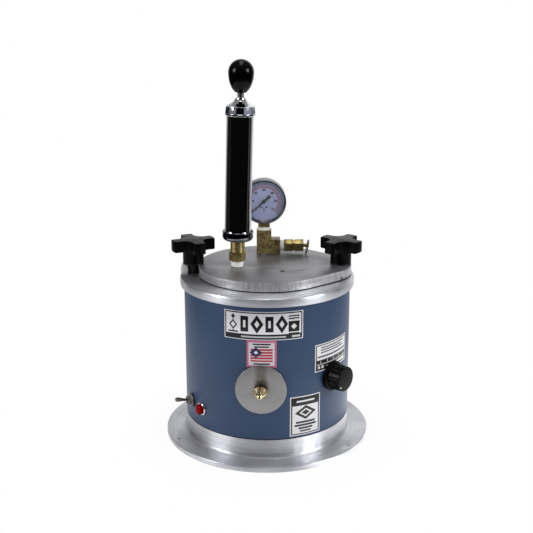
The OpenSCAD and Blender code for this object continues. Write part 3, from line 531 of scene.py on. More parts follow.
    @staticmethod
    def carry(node: str, name: str, edge: float = 0.0, segments: int = 3, smooth: float = 32
              ) -> bpy.types.Object:
        """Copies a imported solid, merges its doubles and flat faces, and rounds its edges.

        Args:
            node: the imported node.
            name: the new piece's name.
            edge: the bevel's width in millimetres.
            segments: faces across the bevel.
            smooth: the shading angle in degrees.

        Returns:
            The finished piece.
        """
        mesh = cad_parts[node].data.copy()
        mesh.materials.clear()
        piece = bpy.data.objects.new(name, mesh)
        bpy.context.scene.collection.objects.link(piece)
        Bench.pick(piece, "VERT", lambda v: True)
        bpy.ops.mesh.remove_doubles(threshold=MERGE)
        bpy.ops.mesh.dissolve_limited(angle_limit=math.radians(0.6))
        bpy.ops.object.mode_set(mode="OBJECT")
        if edge:
            Bench.round_edges(piece, edge, segments)
        Bench.smooth(piece, smooth)
        return piece


def issue(piece: bpy.types.Object, body: str, finish: bpy.types.Material, slot: str, *nodes: str
          ) -> bpy.types.Object:
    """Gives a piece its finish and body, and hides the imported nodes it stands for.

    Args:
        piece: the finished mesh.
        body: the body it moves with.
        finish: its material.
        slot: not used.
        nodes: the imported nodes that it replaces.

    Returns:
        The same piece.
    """
    piece.data.materials.clear()
    piece.data.materials.append(finish)
    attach(piece, body)
    if nodes:
        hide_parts(*nodes)
    log.info("%s: %d faces, rides on %s", piece.name, len(piece.data.polygons), body)
    return piece


def refine(node: str, name: str, body: str, finish: Finish, slot: str, edge: float = 0.0,
           segments: int = 3, smooth: float = 32) -> None:
    """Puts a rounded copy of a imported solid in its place.

    Args:
        node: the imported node.
        name: the copy's name.
        body: the body it moves with.
        finish: its surface finish.
        slot: the record's material slot.
        edge: the bevel's width in millimetres.
        segments: faces across the bevel.
        smooth: the shading angle in degrees.
    """
    issue(Bench.carry(node, name, edge, segments, smooth), body, finish.material(), slot, node)


def dress(node: str, finish: Finish) -> None:
    """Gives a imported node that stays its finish.

    Args:
        node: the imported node.
        finish: its surface finish.
    """
    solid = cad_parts[node]
    solid.data.materials.clear()
    solid.data.materials.append(finish.material())
    log.info("%s keeps its packed shape", node)


def bar(r: float, low: float, high: float) -> Profile:
    """The profile of a solid round bar, from axis to axis."""
    return [(0, low), (r, low), (r, high), (0, high)]


def tube(inner: float, outer: float, low: float, high: float) -> Profile:
    """The closed profile of a plain round tube."""
    return [(inner, low), (outer, low), (outer, high), (inner, high), (inner, low)]


def arc(r: float, centre: tuple[float, float], start: float, end: float, count: int = 6
        ) -> list[tuple[float, float]]:
    """Points of an arc in a profile.

    Args:
        r: its radius in millimetres.
        centre: its centre, as (radius, height).
        start: its first angle in degrees.
        end: its last angle in degrees.
        count: how many steps it takes.

    Returns:
        The points, both ends among them.
    """
    return [(centre[0] + r * math.cos(math.radians(start + (end - start) * i / count)),
             centre[1] + r * math.sin(math.radians(start + (end - start) * i / count)))
            for i in range(count + 1)]


@dataclass(frozen=True)
class ShellPaint(Finish):
    """Satin steel-blue enamel over rolled sheet, with painted shade where the shell meets the ring and rim.
    """

    low: float = 31.0
    high: float = 194.4
    fade: float = 0.3
    # the colour of the painted shade in the joints at both ends
    painted_shade: str = "08090B"

    def colours(self, tree: bpy.types.NodeTree, grain: bpy.types.NodeSocket) -> bpy.types.NodeSocket:
        """Paints shade on the last millimetre at both ends of the shell, in its joints with the ring and
        rim.

        Args:
            tree: the material's node tree.
            grain: the grain, from 0 to 1.

        Returns:
            The colour.
        """
        height = put(tree, "SeparateXYZ", {0: put(tree, "TexCoord").outputs["Object"]}).outputs[2]
        middle, half = (self.low + self.high) / 2, (self.high - self.low) / 2
        off = put(tree, "Math", {0: height, 1: middle * MM}, operation="SUBTRACT").outputs[0]
        off = put(tree, "Math", {0: off}, operation="ABSOLUTE").outputs[0]
        edge = put(tree, "MapRange", {"Value": off, "From Min": half * MM,
                   "From Max": (half + self.fade) * MM, "To Max": 0.9}).outputs[0]
        return put(tree, "Mix", {"Factor": edge, "A": super().colours(tree, grain),
                   "B": linear(self.painted_shade)}, data_type="RGBA").outputs[2]


@dataclass(frozen=True)
class RimSkin(Finish):
    """Turned aluminium, dulled by heat, with painted shade on its top face round the left clamp stud.

    The painted shade is thickest within `shaded_r` millimetres of the stud and gone at `unshaded_r`.
    """

    top_z: float = 205.0
    unshaded_r: float = 105.0
    shaded_r: float = 34.0
    cover: float = 0.86
    # the colour of the painted shade round the stud
    shadow_tone: str = "101114"

    def shade_mask(self, tree: bpy.types.NodeTree) -> bpy.types.NodeSocket:
        """Painted shade on the top face, thick by the stud and thinning away from it.

        Args:
            tree: the material's node tree.

        Returns:
            The painted shade, from 0 to 1.
        """
        split = put(tree, "SeparateXYZ", {0: put(tree, "TexCoord").outputs["Object"]})
        away = off_axis(tree, split, LEFT_STUD)
        near = put(tree, "MapRange", {"Value": away, "From Min": self.unshaded_r * MM,
                   "From Max": self.shaded_r * MM, "To Max": self.cover}, **SOFT).outputs[0]
        top = put(tree, "Math", {0: split.outputs[2], 1: self.top_z * MM}, operation="GREATER_THAN")
        return put(tree, "Math", {0: near, 1: top.outputs[0]}, operation="MULTIPLY").outputs[0]

    def colours(self, tree: bpy.types.NodeTree, grain: bpy.types.NodeSocket) -> bpy.types.NodeSocket:
        """Paints the shade over the metal."""
        return put(tree, "Mix", {"Factor": self.shade_mask(tree), "A": super().colours(tree, grain),
                   "B": linear(self.shadow_tone)}, data_type="RGBA").outputs[2]


@dataclass
class Housing:
    """Base ring, shell, tank and what they hold.

    Pairs are inner and outer radius, or lower and upper end, in millimetres.
    """

    edge: float = 0.35
    shell_in: float = 100.1
    # the dark sleeve on the left stud, a piece that stands partly for the shade round the stud
    shell_z: tuple = (29.4, 195.2)
    shade_sleeve_r: tuple = (4.8, 6.3)
    shade_sleeve_z: tuple = (205.6, 217.5)
    held: dict = field(default_factory=lambda: {
        "bottom_plate": GALVANISED, "bottom_screws": STEEL, "tie_rods": STEEL, "tie_rod_nuts": STEEL,
        "heater_band": MICA, "heater_screw": STEEL, "insulation_ring": FELT, "lid_seal": RUBBER,
        "thermostat_body": STEATITE, "thermostat_nut": STEEL,
        "cord_gland": PHENOLIC, "valve_body": BRASS, "clamp_studs": OXIDE})

    def build(self) -> None:
        """Makes the ring, shell and rim, and dresses the solids that stay."""
        refine("base_ring", "flange_ring", "housing", RING, "bright_aluminium", self.edge)
        # Turned aluminium like the ring's, but finer and never polished, with painted shade on its top round
        # the left stud.
        rim = RimSkin("rim_aluminium", "DADBE0", "BCBDC4", 0.42, 0.92, grain=Grain.TURNED, grain_mm=1.0,
                      depth_mm=0.008, spread=0.06, drawn=0.75)
        refine("tank", "tank_pot", "housing", rim, "bright_aluminium", self.edge)
        # Air-dried enamel, sprayed: satin, with a faint orange peel of about a millimetre.
        paint = ShellPaint("steel_blue_enamel", "324766", "2E425F", 0.42, grain_mm=1.3, depth_mm=0.006,
                           spread=0.04, gleam=0.32)
        wall = tube(self.shell_in, BODY_R, *self.shell_z)
        issue(Bench.lathe("rolled_shell", wall, steps=256, edge=0.2), "housing", paint.material(),
              "blue_paint", "body_shell")
        refine("heel_block", "lid_heel", "housing", SAWN, "bright_aluminium", 0.5)
        # a dark sleeve on the left stud, standing partly for a dark boss and partly for the shade round the
        # stud under the knob
        shade_sleeve = tube(*self.shade_sleeve_r, *self.shade_sleeve_z)
        issue(Bench.lathe("stud_shade_sleeve", shade_sleeve, Seat(LEFT_STUD), 48, edge=0.2), "housing",
              RUBBER.material(), "black_plastic")
        for node, finish in self.held.items():
            dress(node, finish)


@dataclass(frozen=True)
class PlateSkin(Finish):
    """Milled plate: a dull face, a milled side painted paler as a highlight, and painted shade in the joint
    under it and on its left end.

    The painted shade is full below `shaded_z` and gone at `unshaded_z`. By the left stud it is full within
    `shaded_r` and gone at `unshaded_r`. The painted highlight ends `blend` above `face_z`. All are
    millimetres.
    """

    unshaded_z: float = 207.0
    shaded_z: float = 206.7
    face_z: float = 216.6
    blend: float = 0.6
    unshaded_r: float = 30.0
    shaded_r: float = 17.0
    # the painted highlight on the side, then the colour of the painted shade
    edge_highlight: str = "F4F4F7"
    shadow_tone: str = "0E0E10"

    def shade_mask(self, tree: bpy.types.NodeTree) -> bpy.types.NodeSocket:
        """Painted shade along the joint and on the left end, by the clamp stud.

        Args:
            tree: the material's node tree.

        Returns:
            The painted shade, from 0 to 1.
        """
        split = put(tree, "SeparateXYZ", {0: put(tree, "TexCoord").outputs["Object"]})
        joint = put(tree, "MapRange", {"Value": split.outputs[2], "From Min": self.unshaded_z * MM,
                    "From Max": self.shaded_z * MM}).outputs[0]
        away = off_axis(tree, split, LEFT_STUD)
        end = put(tree, "MapRange", {"Value": away, "From Min": self.unshaded_r * MM,
                  "From Max": self.shaded_r * MM}).outputs[0]
        below = put(tree, "Math", {0: split.outputs[2], 1: self.face_z * MM}, operation="LESS_THAN")
        below = below.outputs[0]
        end = put(tree, "Math", {0: end, 1: below}, operation="MULTIPLY").outputs[0]
        return put(tree, "Math", {0: joint, 1: end}, operation="MAXIMUM").outputs[0]

    def colours(self, tree: bpy.types.NodeTree, grain: bpy.types.NodeSocket) -> bpy.types.NodeSocket:
        """Paints a highlight on the side below the face, and paints shade where the mask covers.

        Args:
            tree: the material's node tree.
            grain: the grain, from 0 to 1.

        Returns:
            The colour.
        """
        height = put(tree, "SeparateXYZ", {0: put(tree, "TexCoord").outputs["Object"]}).outputs[2]
        side = put(tree, "MapRange", {"Value": height, "From Min": (self.face_z + self.blend) * MM,
                   "From Max": self.face_z * MM, "To Max": 0.95}).outputs[0]
        edge_sheen = put(tree, "Math", {0: side, 1: grain}, operation="MULTIPLY").outputs[0]
        paint = put(tree, "Mix", {"Factor": edge_sheen, "A": super().colours(tree, grain),
                    "B": linear(self.edge_highlight)}, data_type="RGBA").outputs[2]
        return put(tree, "Mix", {"Factor": self.shade_mask(tree), "A": paint, "B": linear(self.shadow_tone)},
                   data_type="RGBA").outputs[2]


@dataclass
class Lid:
    """The machined lid plate with its plug and set screw, which sits in the side of the lobe."""

    edge: float = 0.9
    screw_azimuth: float = -44.5
    lobe_x: float = 54.0
    lobe_r: float = 49.0
    screw_z: float = 208.2
    screw: tuple = ((0, -3), (1.8, -3), (1.8, 0.1), (1.5, 0.3), (0.9, 0.3), (0.8, -0.7), (0, -0.7))

    def build(self) -> None:
        """Makes the plate, its plug and the little screw in its side."""
        # Rolled plate, milled round its edge: a dull face and a ribbed side painted paler as a highlight,
        # with painted shade in the joint below and at the left end.
        skin = PlateSkin("dull_aluminium_plate", "9A9A9E", "7B7B80", 0.42, 0.75, grain=Grain.MILLED,
                         grain_mm=1.3, depth_mm=0.03, spread=0.07)
        refine("lid", "lid_plate", "lid", skin, "lid_aluminium", self.edge)
        refine("lid_plug", "plug_screw", "lid", DARK_STEEL, "steel", 0.15, 2)
        a = math.radians(self.screw_azimuth)
        at = (self.lobe_x + self.lobe_r * math.cos(a), self.lobe_r * math.sin(a), self.screw_z)
        screw = Bench.lathe("side_screw", self.screw, Seat(at, (0, 90, self.screw_azimuth)), 24)
        issue(screw, "lid", OXIDE.material(), "steel")


@dataclass
class AirPump:
    """The hand pump: adapter, caps, barrel, rod and ball.

    Fields that end in _s are stations along the pump's axis, from the top of the lid. All are
    millimetres, apart from the turn of the cap's flats, in degrees.
    """

    ball_d: float = 30.0
    ball_h: float = 37.7
    ball_s: float = 208.7
    flat_r: float = 6.5
    band_s: float = 182.1
    cap_s: float = 32.8
    barrel_r: tuple = (14.5, 16.0)
    barrel_s: tuple = (38.0, 187.55)
    rod_r: float = 4.0
    rod_s: tuple = (41.5, 218.6)
    flat_turn: float = 15.0
    flats: tuple = ((16.2, 2.7), (18.0, 2.7), (17.35, 10.3), (16.9, 10.9), (16.2, 10.9), (16.2, 2.7))

    def along(self, s: float) -> Seat:
        """The pump's own seat, moved along its axis by s millimetres."""
        return Seat(tuple(PUMP.matrix() @ Vector((0, 0, s * MM)) / MM), PUMP.turn)

    def ball(self) -> Profile:
        """The egg-shaped handle, flat below.

        Returns:
            Its profile, from axis to axis.
        """
        top, rise = self.ball_d / 2, self.ball_h - self.ball_d / 2
        pinch = 1 - (self.flat_r / top) ** 2
        side = [(top * math.sqrt(1 - (1 - t / 16) ** 2 * pinch), rise * t / 16) for t in range(17)]
        return [(0, 0)] + side + arc(top, (0, rise), 4, 90, 20)[:-1] + [(0, self.ball_h)]

    def top_cap(self) -> Profile:
        """The screwed cap: a rolled band, a groove and a trumpet cone that runs in to the rod.

        Returns:
            Its closed profile.
        """
        cone = [(6 + 10.4 * (1 - t / 12) ** 1.9, 10.9 + 9.3 * t / 12) for t in range(13)]
        return ([(16.0, 0), (17.4, 0), (18.0, 0.6), (18.0, 2.4), (17.7, 2.7), (17.0, 2.8), (17.0, 10.9),
                 (16.6, 10.9)] + cone + [(5.6, 20.2), (4.05, 20.2), (4.05, 5.5), (16.0, 5.5),
                (16.0, 0)])

    def base_cap(self) -> Profile:
        """The lower cap with a rounded belly and a lip where the barrel enters.

        Returns:
            Its closed profile.
        """
        belly = [(13.5 + 5 * math.sin(math.radians(a)), 5 - 5 * math.cos(math.radians(a)))
                 for a in range(0, 91, 10)]
        return ([(6.5, 0)] + belly + [(18.5, 11.2), (18.0, 11.8),
                (16.05, 11.8), (16.05, 5.2), (6.5, 5.2), (6.5, 0)])

    def build(self) -> None:
        """Makes the pump from the lid up."""
        refine("pump_adapter", "adapter", "lid", BRASS, "brass", 0.45)
        issue(Bench.lathe("lower_cap", self.base_cap(), self.along(self.cap_s), edge=0.1), "lid",
              SHADED_CHROME.material(), "chrome", "pump_base_cap")
        barrel = Bench.lathe("barrel_tube", tube(*self.barrel_r, *self.barrel_s), PUMP, 128)
        issue(barrel, "lid", CHROME.material(), "chrome", "pump_barrel")
        band = self.along(self.band_s)
        issue(Bench.lathe("upper_cap", self.top_cap(), band, edge=0.12), "lid", CHROME.material(),
              "chrome", "pump_top_cap")
        turned = Seat(band.at, (0, band.turn[1], self.flat_turn))
        issue(Bench.lathe("cap_flats", self.flats, turned, 12, edge=0.15, smooth=12), "lid",
              SHADED_BLUE_CHROME.material(), "chrome")
        issue(Bench.lathe("plunger_rod", bar(self.rod_r, *self.rod_s), PUMP, 48), "pump_plunger",
              GROUND.material(), "chrome", "pump_rod")
        issue(Bench.lathe("ball_handle", self.ball(), self.along(self.ball_s), smooth=40), "pump_plunger",
              BALL.material(), "black_gloss", "pump_ball")
        dress("pump_piston", BRASS)
        dress("pump_cup", LEATHER)


@dataclass
class ThreadTape:
    """White seal tape wound on the four pipe threads.

    Each band is given as its axis, start, length and outer radius.
    """

    bands: tuple = ((PUMP, 0.3, 7.4, 7.7), (TEE, LID_TOP, 1.5, 7.8), (TEE, 248.8, 4.4, 7.9),
                    (ARM, 16.4, 5.2, 6.8))
    wrap: float = 1.2
    depth: float = 1.4

    def band(self, index: int, seat: Seat, start: float, length: float, r: float) -> bpy.types.Object:
        """One wound band: overlapping turns with soft, uneven edges.

        Args:
            index: the band's number.
            seat: the pipe's axis.
            start: where the band starts on the axis, in millimetres.
            length: how long it is, in millimetres.
            r: its outer radius, in millimetres.

        Returns:
            The band.
        """
        turns = max(2, round(length / self.wrap))
        inner = r - self.depth
        outline = [(inner, start)]
        for t in range(turns):
            low, high = start + length * t / turns, start + length * (t + 1) / turns
            outline += [(r - 0.55, low + 0.02), (r - 0.1, low + 0.2), (r, (low + high) / 2),
                        (r - 0.2, high - 0.1)]
        outline += [(inner, start + length), (inner, start)]
        piece = Bench.lathe(f"tape_{index}", outline, seat, 64, smooth=50)
        crease = bpy.data.textures.new(f"tape_crease_{index}", "CLOUDS")
        crease.noise_scale = 2.6 * MM
        Bench.modifier(piece, "DISPLACE", texture=crease, strength=0.35 * MM, mid_level=0.75,
                       texture_coords="GLOBAL")
        return piece

    def build(self) -> None:
        """Winds the four bands and joins them to one piece."""
        bands = [self.band(i, *b) for i, b in enumerate(self.bands)]
        Bench.take(bands[0])
        for other in bands[1:]:
            other.select_set(True)
        bpy.ops.object.join()
        bands[0].name = "wound_tape"
        issue(bands[0], "lid", TAPE.material(), "white_tape", "thread_tape")


@dataclass(frozen=True)
class DialPrint(Finish):
    """The printed gauge face: an outer black scale and an inner red one on bluish white.

    Attributes:
        sweep: how far the scales run either way from the top, in degrees.
        outer: the black scale's radius, half width, step in degrees and tick width.
        inner: the same for the red scale.
        marks: small plain bars under the middle, as x, y, half width and half height.
        ink: the black ink.
        red_ink: the red ink.
        line: half width of the line that each scale stands on.
    """

    sweep: float = 135.6
    outer: tuple = (22.6, 1.6, 4.5, 0.8)
    inner: tuple = (18.8, 1.5, 4.5, 0.9)
    marks: tuple = ((-3.6, -7.8, 1.4, 0.8), (3.2, -7.8, 1.5, 0.8), (0.0, -10.8, 1.1, 0.8),
                    (0.0, -13.6, 0.9, 0.6))
    ink: str = "20242E"
    red_ink: str = "A8404E"
    line: float = 0.12

    def colours(self, tree: bpy.types.NodeTree, grain: bpy.types.NodeSocket) -> bpy.types.NodeSocket:
        """Paints the two tick scales and the small bars over the enamel.

        Args:
            tree: the material's node tree.
            grain: the grain, from 0 to 1.

        Returns:
            The colour.
        """
        own = self.points(tree)
        split = put(tree, "SeparateXYZ", {0: own})
        up = put(tree, "Math", {0: split.outputs[1], 1: -1.0}, operation="MULTIPLY").outputs[0]
        angle = put(tree, "Math", {0: split.outputs[0], 1: up}, operation="ARCTAN2").outputs[0]
        radius = off_axis(tree, split)
        shown = put(tree, "Math", {0: angle, 1: 0.0, 2: math.radians(self.sweep)}, operation="COMPARE")
        paint = super().colours(tree, grain)
        for (r, half, step, width), ink in ((self.outer, self.ink), (self.inner, self.red_ink)):
            off = put(tree, "Math", {0: angle, 1: math.radians(step / 2)}, operation="PINGPONG").outputs[0]
            run = put(tree, "Math", {0: off, 1: radius}, operation="MULTIPLY").outputs[0]
            thin = put(tree, "Math", {0: run, 1: width / 2 * MM}, operation="LESS_THAN").outputs[0]
            band = put(tree, "Math", {0: radius, 1: r * MM, 2: half * MM}, operation="COMPARE").outputs[0]
            line = put(tree, "Math", {0: radius, 1: (r - half) * MM, 2: self.line * MM},
                       operation="COMPARE")
            tick = put(tree, "Math", {0: thin, 1: band}, operation="MULTIPLY").outputs[0]
            both = put(tree, "Math", {0: tick, 1: line.outputs[0]}, operation="MAXIMUM").outputs[0]
            mask = put(tree, "Math", {0: both, 1: shown.outputs[0]}, operation="MULTIPLY").outputs[0]
            paint = put(tree, "Mix", {"Factor": mask, "A": paint, "B": linear(ink)},
                        data_type="RGBA").outputs[2]
        for cx, cy, wide, tall in self.marks:
            across = put(tree, "Math", {0: split.outputs[0], 1: cx * MM, 2: wide * MM}, operation="COMPARE")
            along = put(tree, "Math", {0: up, 1: cy * MM, 2: tall * MM}, operation="COMPARE")
            mask = put(tree, "Math", {0: across.outputs[0], 1: along.outputs[0]}, operation="MULTIPLY")
            paint = put(tree, "Mix", {"Factor": mask.outputs[0], "A": paint, "B": linear(self.ink)},
                        data_type="RGBA").outputs[2]
        return paint


@dataclass
class GaugeTree:
    """The tee, the gauge and its printed dial and needle.

    The needle's tip and tail are given as reach and width, the window as radius, front and back,
    and the rim and hub as profiles along the gauge's axis, all in millimetres.
    """

    dial_y: float = 41.0
    numbers: tuple = ("0", "10", "20", "30", "40", "50", "60")
    number_r: float = 14.4
    number_h: float = 4.2
    number_arc: float = 270.0
    needle_angle: float = 222.8
    needle_y: float = 38.0
    tip: tuple = (21.8, 1.0)
    tail: tuple = (10.5, 3.9)
    hub: tuple = ((0, 37.1), (1.8, 37.1), (2.5, 37.5), (2.6, 39.1), (1.0, 39.2), (1.0, 46.0), (0, 46.0))
    rim: tuple = ((25.4, 0.9), (26.0, 0.2), (26.6, 0.0), (27.1, 0.0), (27.7, 0.7), (27.7, 5.0),
                  (26.9, 5.0), (26.9, 1.2), (25.4, 1.2), (25.4, 0.9))
    window: tuple = (25.6, 1.2, 2.7)

    def figure(self, text: str, angle: float, r: float, size: float) -> bpy.types.Object:
        """One printed number, a hair thick, on the dial.

        Args:
            text: the number.
            angle: clockwise from the top, in degrees.
            r: its distance from the centre, in millimetres.
            size: its height, in millimetres.

        Returns:
            The number as a mesh.
        """
        Bench.clear()
        bpy.ops.object.text_add(rotation=(math.pi / 2, 0, 0))
        piece = bpy.context.object
        piece.data.body, piece.data.size = text, size * MM
        piece.data.align_x, piece.data.align_y = "CENTER", "CENTER"
        piece.data.extrude, piece.data.offset = 0.02 * MM, 0.2 * MM
        x, _, z = GAUGE_CENTRE
        a = math.radians(angle)
        piece.location = Vector((x + r * math.sin(a), self.dial_y - 0.03, z + r * math.cos(a))) * MM
        bpy.ops.object.convert(target="MESH")
        bpy.ops.object.transform_apply(location=True, rotation=True, scale=True)
        return bpy.context.object

    def needle(self) -> bpy.types.Object:
        """The needle: a tapered blade with a broad tail, pressed hub and arbor.

        Returns:
            The needle, at rest.
        """
        seat = Seat((GAUGE_CENTRE[0], 0, GAUGE_CENTRE[2]), (-90, 0, 0))
        hub = Bench.lathe("needle_hub", self.hub, seat, 32, edge=0.1)
        Bench.clear()
        bpy.ops.mesh.primitive_plane_add(size=1, location=(0, 0, 0))
        blade = bpy.context.object
        blade.name = "pointer_blade"
        for (reach, width), way in ((self.tip, 1), (self.tail, -1)):
            Bench.pick(blade, "VERT", lambda v: v.co.x * way > 0)
            bpy.ops.transform.translate(value=((reach * MM - 0.5) * way, 0, 0))
            bpy.ops.transform.resize(value=(1, width * MM, 1))
        Bench.pick(blade, "FACE", lambda f: True)
        bpy.ops.mesh.extrude_region_move(TRANSFORM_OT_translate={"value": (0, 0, 0.5 * MM)})
        Bench.tidy(blade)
        Bench.round_edges(blade, 0.12, 2)
        middle = Vector((GAUGE_CENTRE[0], self.needle_y, GAUGE_CENTRE[2])) * MM
        blade.matrix_world = (Matrix.Translation(middle)
                              @ Matrix.Rotation(-math.radians(self.needle_angle), 4, "Y")
                              @ Matrix.Rotation(-math.pi / 2, 4, "X"))
        Bench.take(blade)
        bpy.ops.object.transform_apply(location=True, rotation=True, scale=True)
        hub.select_set(True)
        bpy.ops.object.join()
        return blade

    def build(self) -> None:
        """Makes the tee, the case and everything behind its glass."""
        refine("tee", "street_tee", "lid", CAST_BRASS, "brass", 0.5)
        refine("gauge_stem", "gauge_socket", "lid", BRASS, "brass", 0.4)
        refine("gauge_case", "gauge_can", "lid", CAN, "black_enamel", 1.2, 4)
        issue(Bench.lathe("gauge_ring", self.rim, GAUGE, 128, edge=0.15), "lid", CAN.material(),
              "black_enamel", "gauge_bezel")
        # Sprayed enamel with the scales printed on it: bluish white and matt.
        face = DialPrint("gauge_face_print", "BCC2E6", "B0B7DE", 0.5, grain_mm=1.0, depth_mm=0.002,
                         seat=GAUGE)
        refine("gauge_dial", "gauge_face", "lid", face, "dial_white", 0.1, 2)
        # Printing ink: matt and a shade bluer than black.
        ink = Finish("black_dial_ink", "1C202A", "14171F", 0.6, grain_mm=0.8, depth_mm=0.002).material()
        step = self.number_arc / (len(self.numbers) - 1)
        for i, text in enumerate(self.numbers):
            number = self.figure(text, step * i - self.number_arc / 2, self.number_r, self.number_h)
            number.name = f"dial_number_{text}"
            issue(number, "lid", ink, "black_enamel")
        issue(self.needle(), "needle", ENAMEL.material(), "black_enamel", "gauge_needle")
        glass = Bench.lathe("gauge_window", bar(*self.window), GAUGE)
        issue(glass, "lid", GLASS.material(), "glass", "gauge_lens")
        dress("gauge_movement", BRASS)


@dataclass
class ReliefValve:
    """The pull-ring relief valve on the tee's arm."""

    ring_r: float = 9.25
    wire_r: float = 0.75
    eye_x: float = 50.3
    lean: float = 12.0

    def pull_ring(self) -> bpy.types.Object:
        """The ring of spring wire through the stem's eye.

        Returns:
            The ring, hanging as at rest.
        """
        Bench.clear()
        bpy.ops.mesh.primitive_torus_add(major_radius=self.ring_r * MM, minor_radius=self.wire_r * MM,
                                         major_segments=72, minor_segments=16)
        piece = bpy.context.object
        piece.name = "spring_ring"
        lean = Matrix.Rotation(math.radians(self.lean), 4, "Y")
        hang = Matrix.Translation((0, -self.ring_r * MM, 0)) @ Matrix.Rotation(math.pi / 2, 4, "Y")
        piece.matrix_world = Matrix.Translation(Vector((self.eye_x, TEE_Y, ARM_Z)) * MM) @ lean @ hang
        bpy.ops.object.transform_apply(location=True, rotation=True, scale=True)
        Bench.smooth(piece, 60)
        return piece

    def build(self) -> None:
        """Makes the body, stem and ring."""
        refine("relief_body", "relief_housing", "lid", DULL_BRASS, "brass", 0.3)
        refine("relief_stem", "relief_spindle", "relief_stem", DULL_BRASS, "brass", 0.25)
        issue(self.pull_ring(), "pull_ring", DARK_STEEL.material(), "steel", "pull_ring")


@dataclass
class Springs:
    """The two compression springs, wound from round wire."""

    turns: int = 5
    sides: int = 12
    per_turn: int = 28
    nozzle_out: float = 85.9
    relief_x: tuple = (29.15, 43.75)

    def wind(self, name: str, seat: Seat, r: float, wire: float, length: float) -> bpy.types.Object:
        """Winds one spring as a curve and turns it to a mesh.

        Args:
            name: the new piece's name.
            seat: where the spring's axis and foot sit.
            r: radius of the coil's middle line, in millimetres.
            wire: wire diameter in millimetres.
            length: free length in millimetres.

        Returns:
            The spring.
        """
        Bench.clear()
        bpy.ops.curve.primitive_nurbs_path_add()
        piece = bpy.context.object
        piece.name = name
        piece.data.splines.clear()
        count = self.turns * self.per_turn + 1
        path = piece.data.splines.new("POLY")
        path.points.add(count - 1)
        for i, point in enumerate(path.points):
            a = math.tau * i / self.per_turn
            rise = wire / 2 + (length - wire) * i / (count - 1)
            point.co = (r * math.cos(a) * MM, r * math.sin(a) * MM, rise * MM, 1)
        piece.data.bevel_depth, piece.data.use_fill_caps = wire / 2 * MM, True
        piece.data.bevel_resolution = self.sides // 4
        bpy.ops.object.convert(target="MESH")
        Bench.tidy(piece)
        Bench.seat(piece, seat)
        Bench.smooth(piece, 60)
        return piece

    def build(self) -> None:
        """Winds both springs."""
        foot = radial(*NOZZLE_AT, self.nozzle_out)
        spring = self.wind("nozzle_spring", foot, r=4.4, wire=1.2, length=10.0)
        issue(spring, "housing", STEEL.material(), "steel", "valve_spring")
        outward = foot.matrix().to_3x3() @ Vector((0, 0, 1))
        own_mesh(spring)
        start, end = self.relief_x
        spring = self.wind("relief_coil", Seat((start, TEE_Y, ARM_Z), ARM.turn), r=3.2, wire=0.8,
                           length=end - start)
        issue(spring, "lid", STEEL.material(), "steel", "relief_spring")
        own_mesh(spring)


@dataclass(frozen=True)
class DiscSkin(Finish):
    """Brushed stainless disc with a brown wax stain above the nozzle.

    The stain starts at `near` millimetres above the nozzle and is full at `far`; to either side it
    is full within `near` and gone at `far`.
    """

    stain: str = "4A3A26"
    near: float = 3.0
    far: float = 10.0

    def colours(self, tree: bpy.types.NodeTree, grain: bpy.types.NodeSocket) -> bpy.types.NodeSocket:
        """Spreads the stain upwards from the nut, broken by the grain.

        Args:
            tree: the material's node tree.
            grain: the grain, from 0 to 1.

        Returns:
            The colour.
        """
        split = put(tree, "SeparateXYZ", {0: self.points(tree)})
        up = put(tree, "MapRange", {"Value": split.outputs[0], "From Min": -self.near * MM,
                 "From Max": -self.far * MM}, **SOFT).outputs[0]
        wide = put(tree, "Math", {0: split.outputs[1]}, operation="ABSOLUTE").outputs[0]
        wide = put(tree, "MapRange", {"Value": wide, "From Min": self.far * MM,
                   "From Max": self.near * MM}, **SOFT).outputs[0]
        mask = put(tree, "Math", {0: up, 1: wide}, operation="MULTIPLY").outputs[0]
        mask = put(tree, "Math", {0: mask, 1: grain}, operation="MULTIPLY").outputs[0]
        return put(tree, "Mix", {"Factor": mask, "A": super().colours(tree, grain),
                   "B": linear(self.stain)}, data_type="RGBA").outputs[2]


@dataclass(frozen=True)
class BoreSkin(Finish):
    """Metal with a bore along its seat's axis: painted shade inside it, and a painted dark streak above it
    for the dark reflection between the cone's two highlights.

    The streak is full within `streak_in` millimetres of the middle and gone at `streak_out`.
    """

    bore_r: float = 1.25
    streak_in: float = 0.3
    streak_out: float = 1.1
    # the painted shade in the bore, then the painted dark reflection above it
    bore_shade: str = "0C0906"
    streak_tone: str = "3A2A12"

    def colours(self, tree: bpy.types.NodeTree, grain: bpy.types.NodeSocket) -> bpy.types.NodeSocket:
        """Paints shade within the bore and the dark reflection streak above it.

        Args:
            tree: the material's node tree.
            grain: the grain, from 0 to 1.

        Returns:
            The colour.
        """
        split = put(tree, "SeparateXYZ", {0: self.points(tree)})
        inside = put(tree, "Math", {0: off_axis(tree, split), 1: self.bore_r * MM}, operation="LESS_THAN")
        aside = put(tree, "Math", {0: split.outputs[1]}, operation="ABSOLUTE").outputs[0]
        aside = put(tree, "MapRange", {"Value": aside, "From Min": self.streak_out * MM,
                    "From Max": self.streak_in * MM}).outputs[0]
        above = put(tree, "Math", {0: split.outputs[0], 1: 0.0}, operation="LESS_THAN").outputs[0]
        run = put(tree, "Math", {0: aside, 1: above}, operation="MULTIPLY").outputs[0]
        streaked = put(tree, "Mix", {"Factor": run, "A": super().colours(tree, grain),
                      "B": linear(self.streak_tone)}, data_type="RGBA").outputs[2]
        return put(tree, "Mix", {"Factor": inside.outputs[0], "A": streaked, "B": linear(self.bore_shade)},
                   data_type="RGBA").outputs[2]


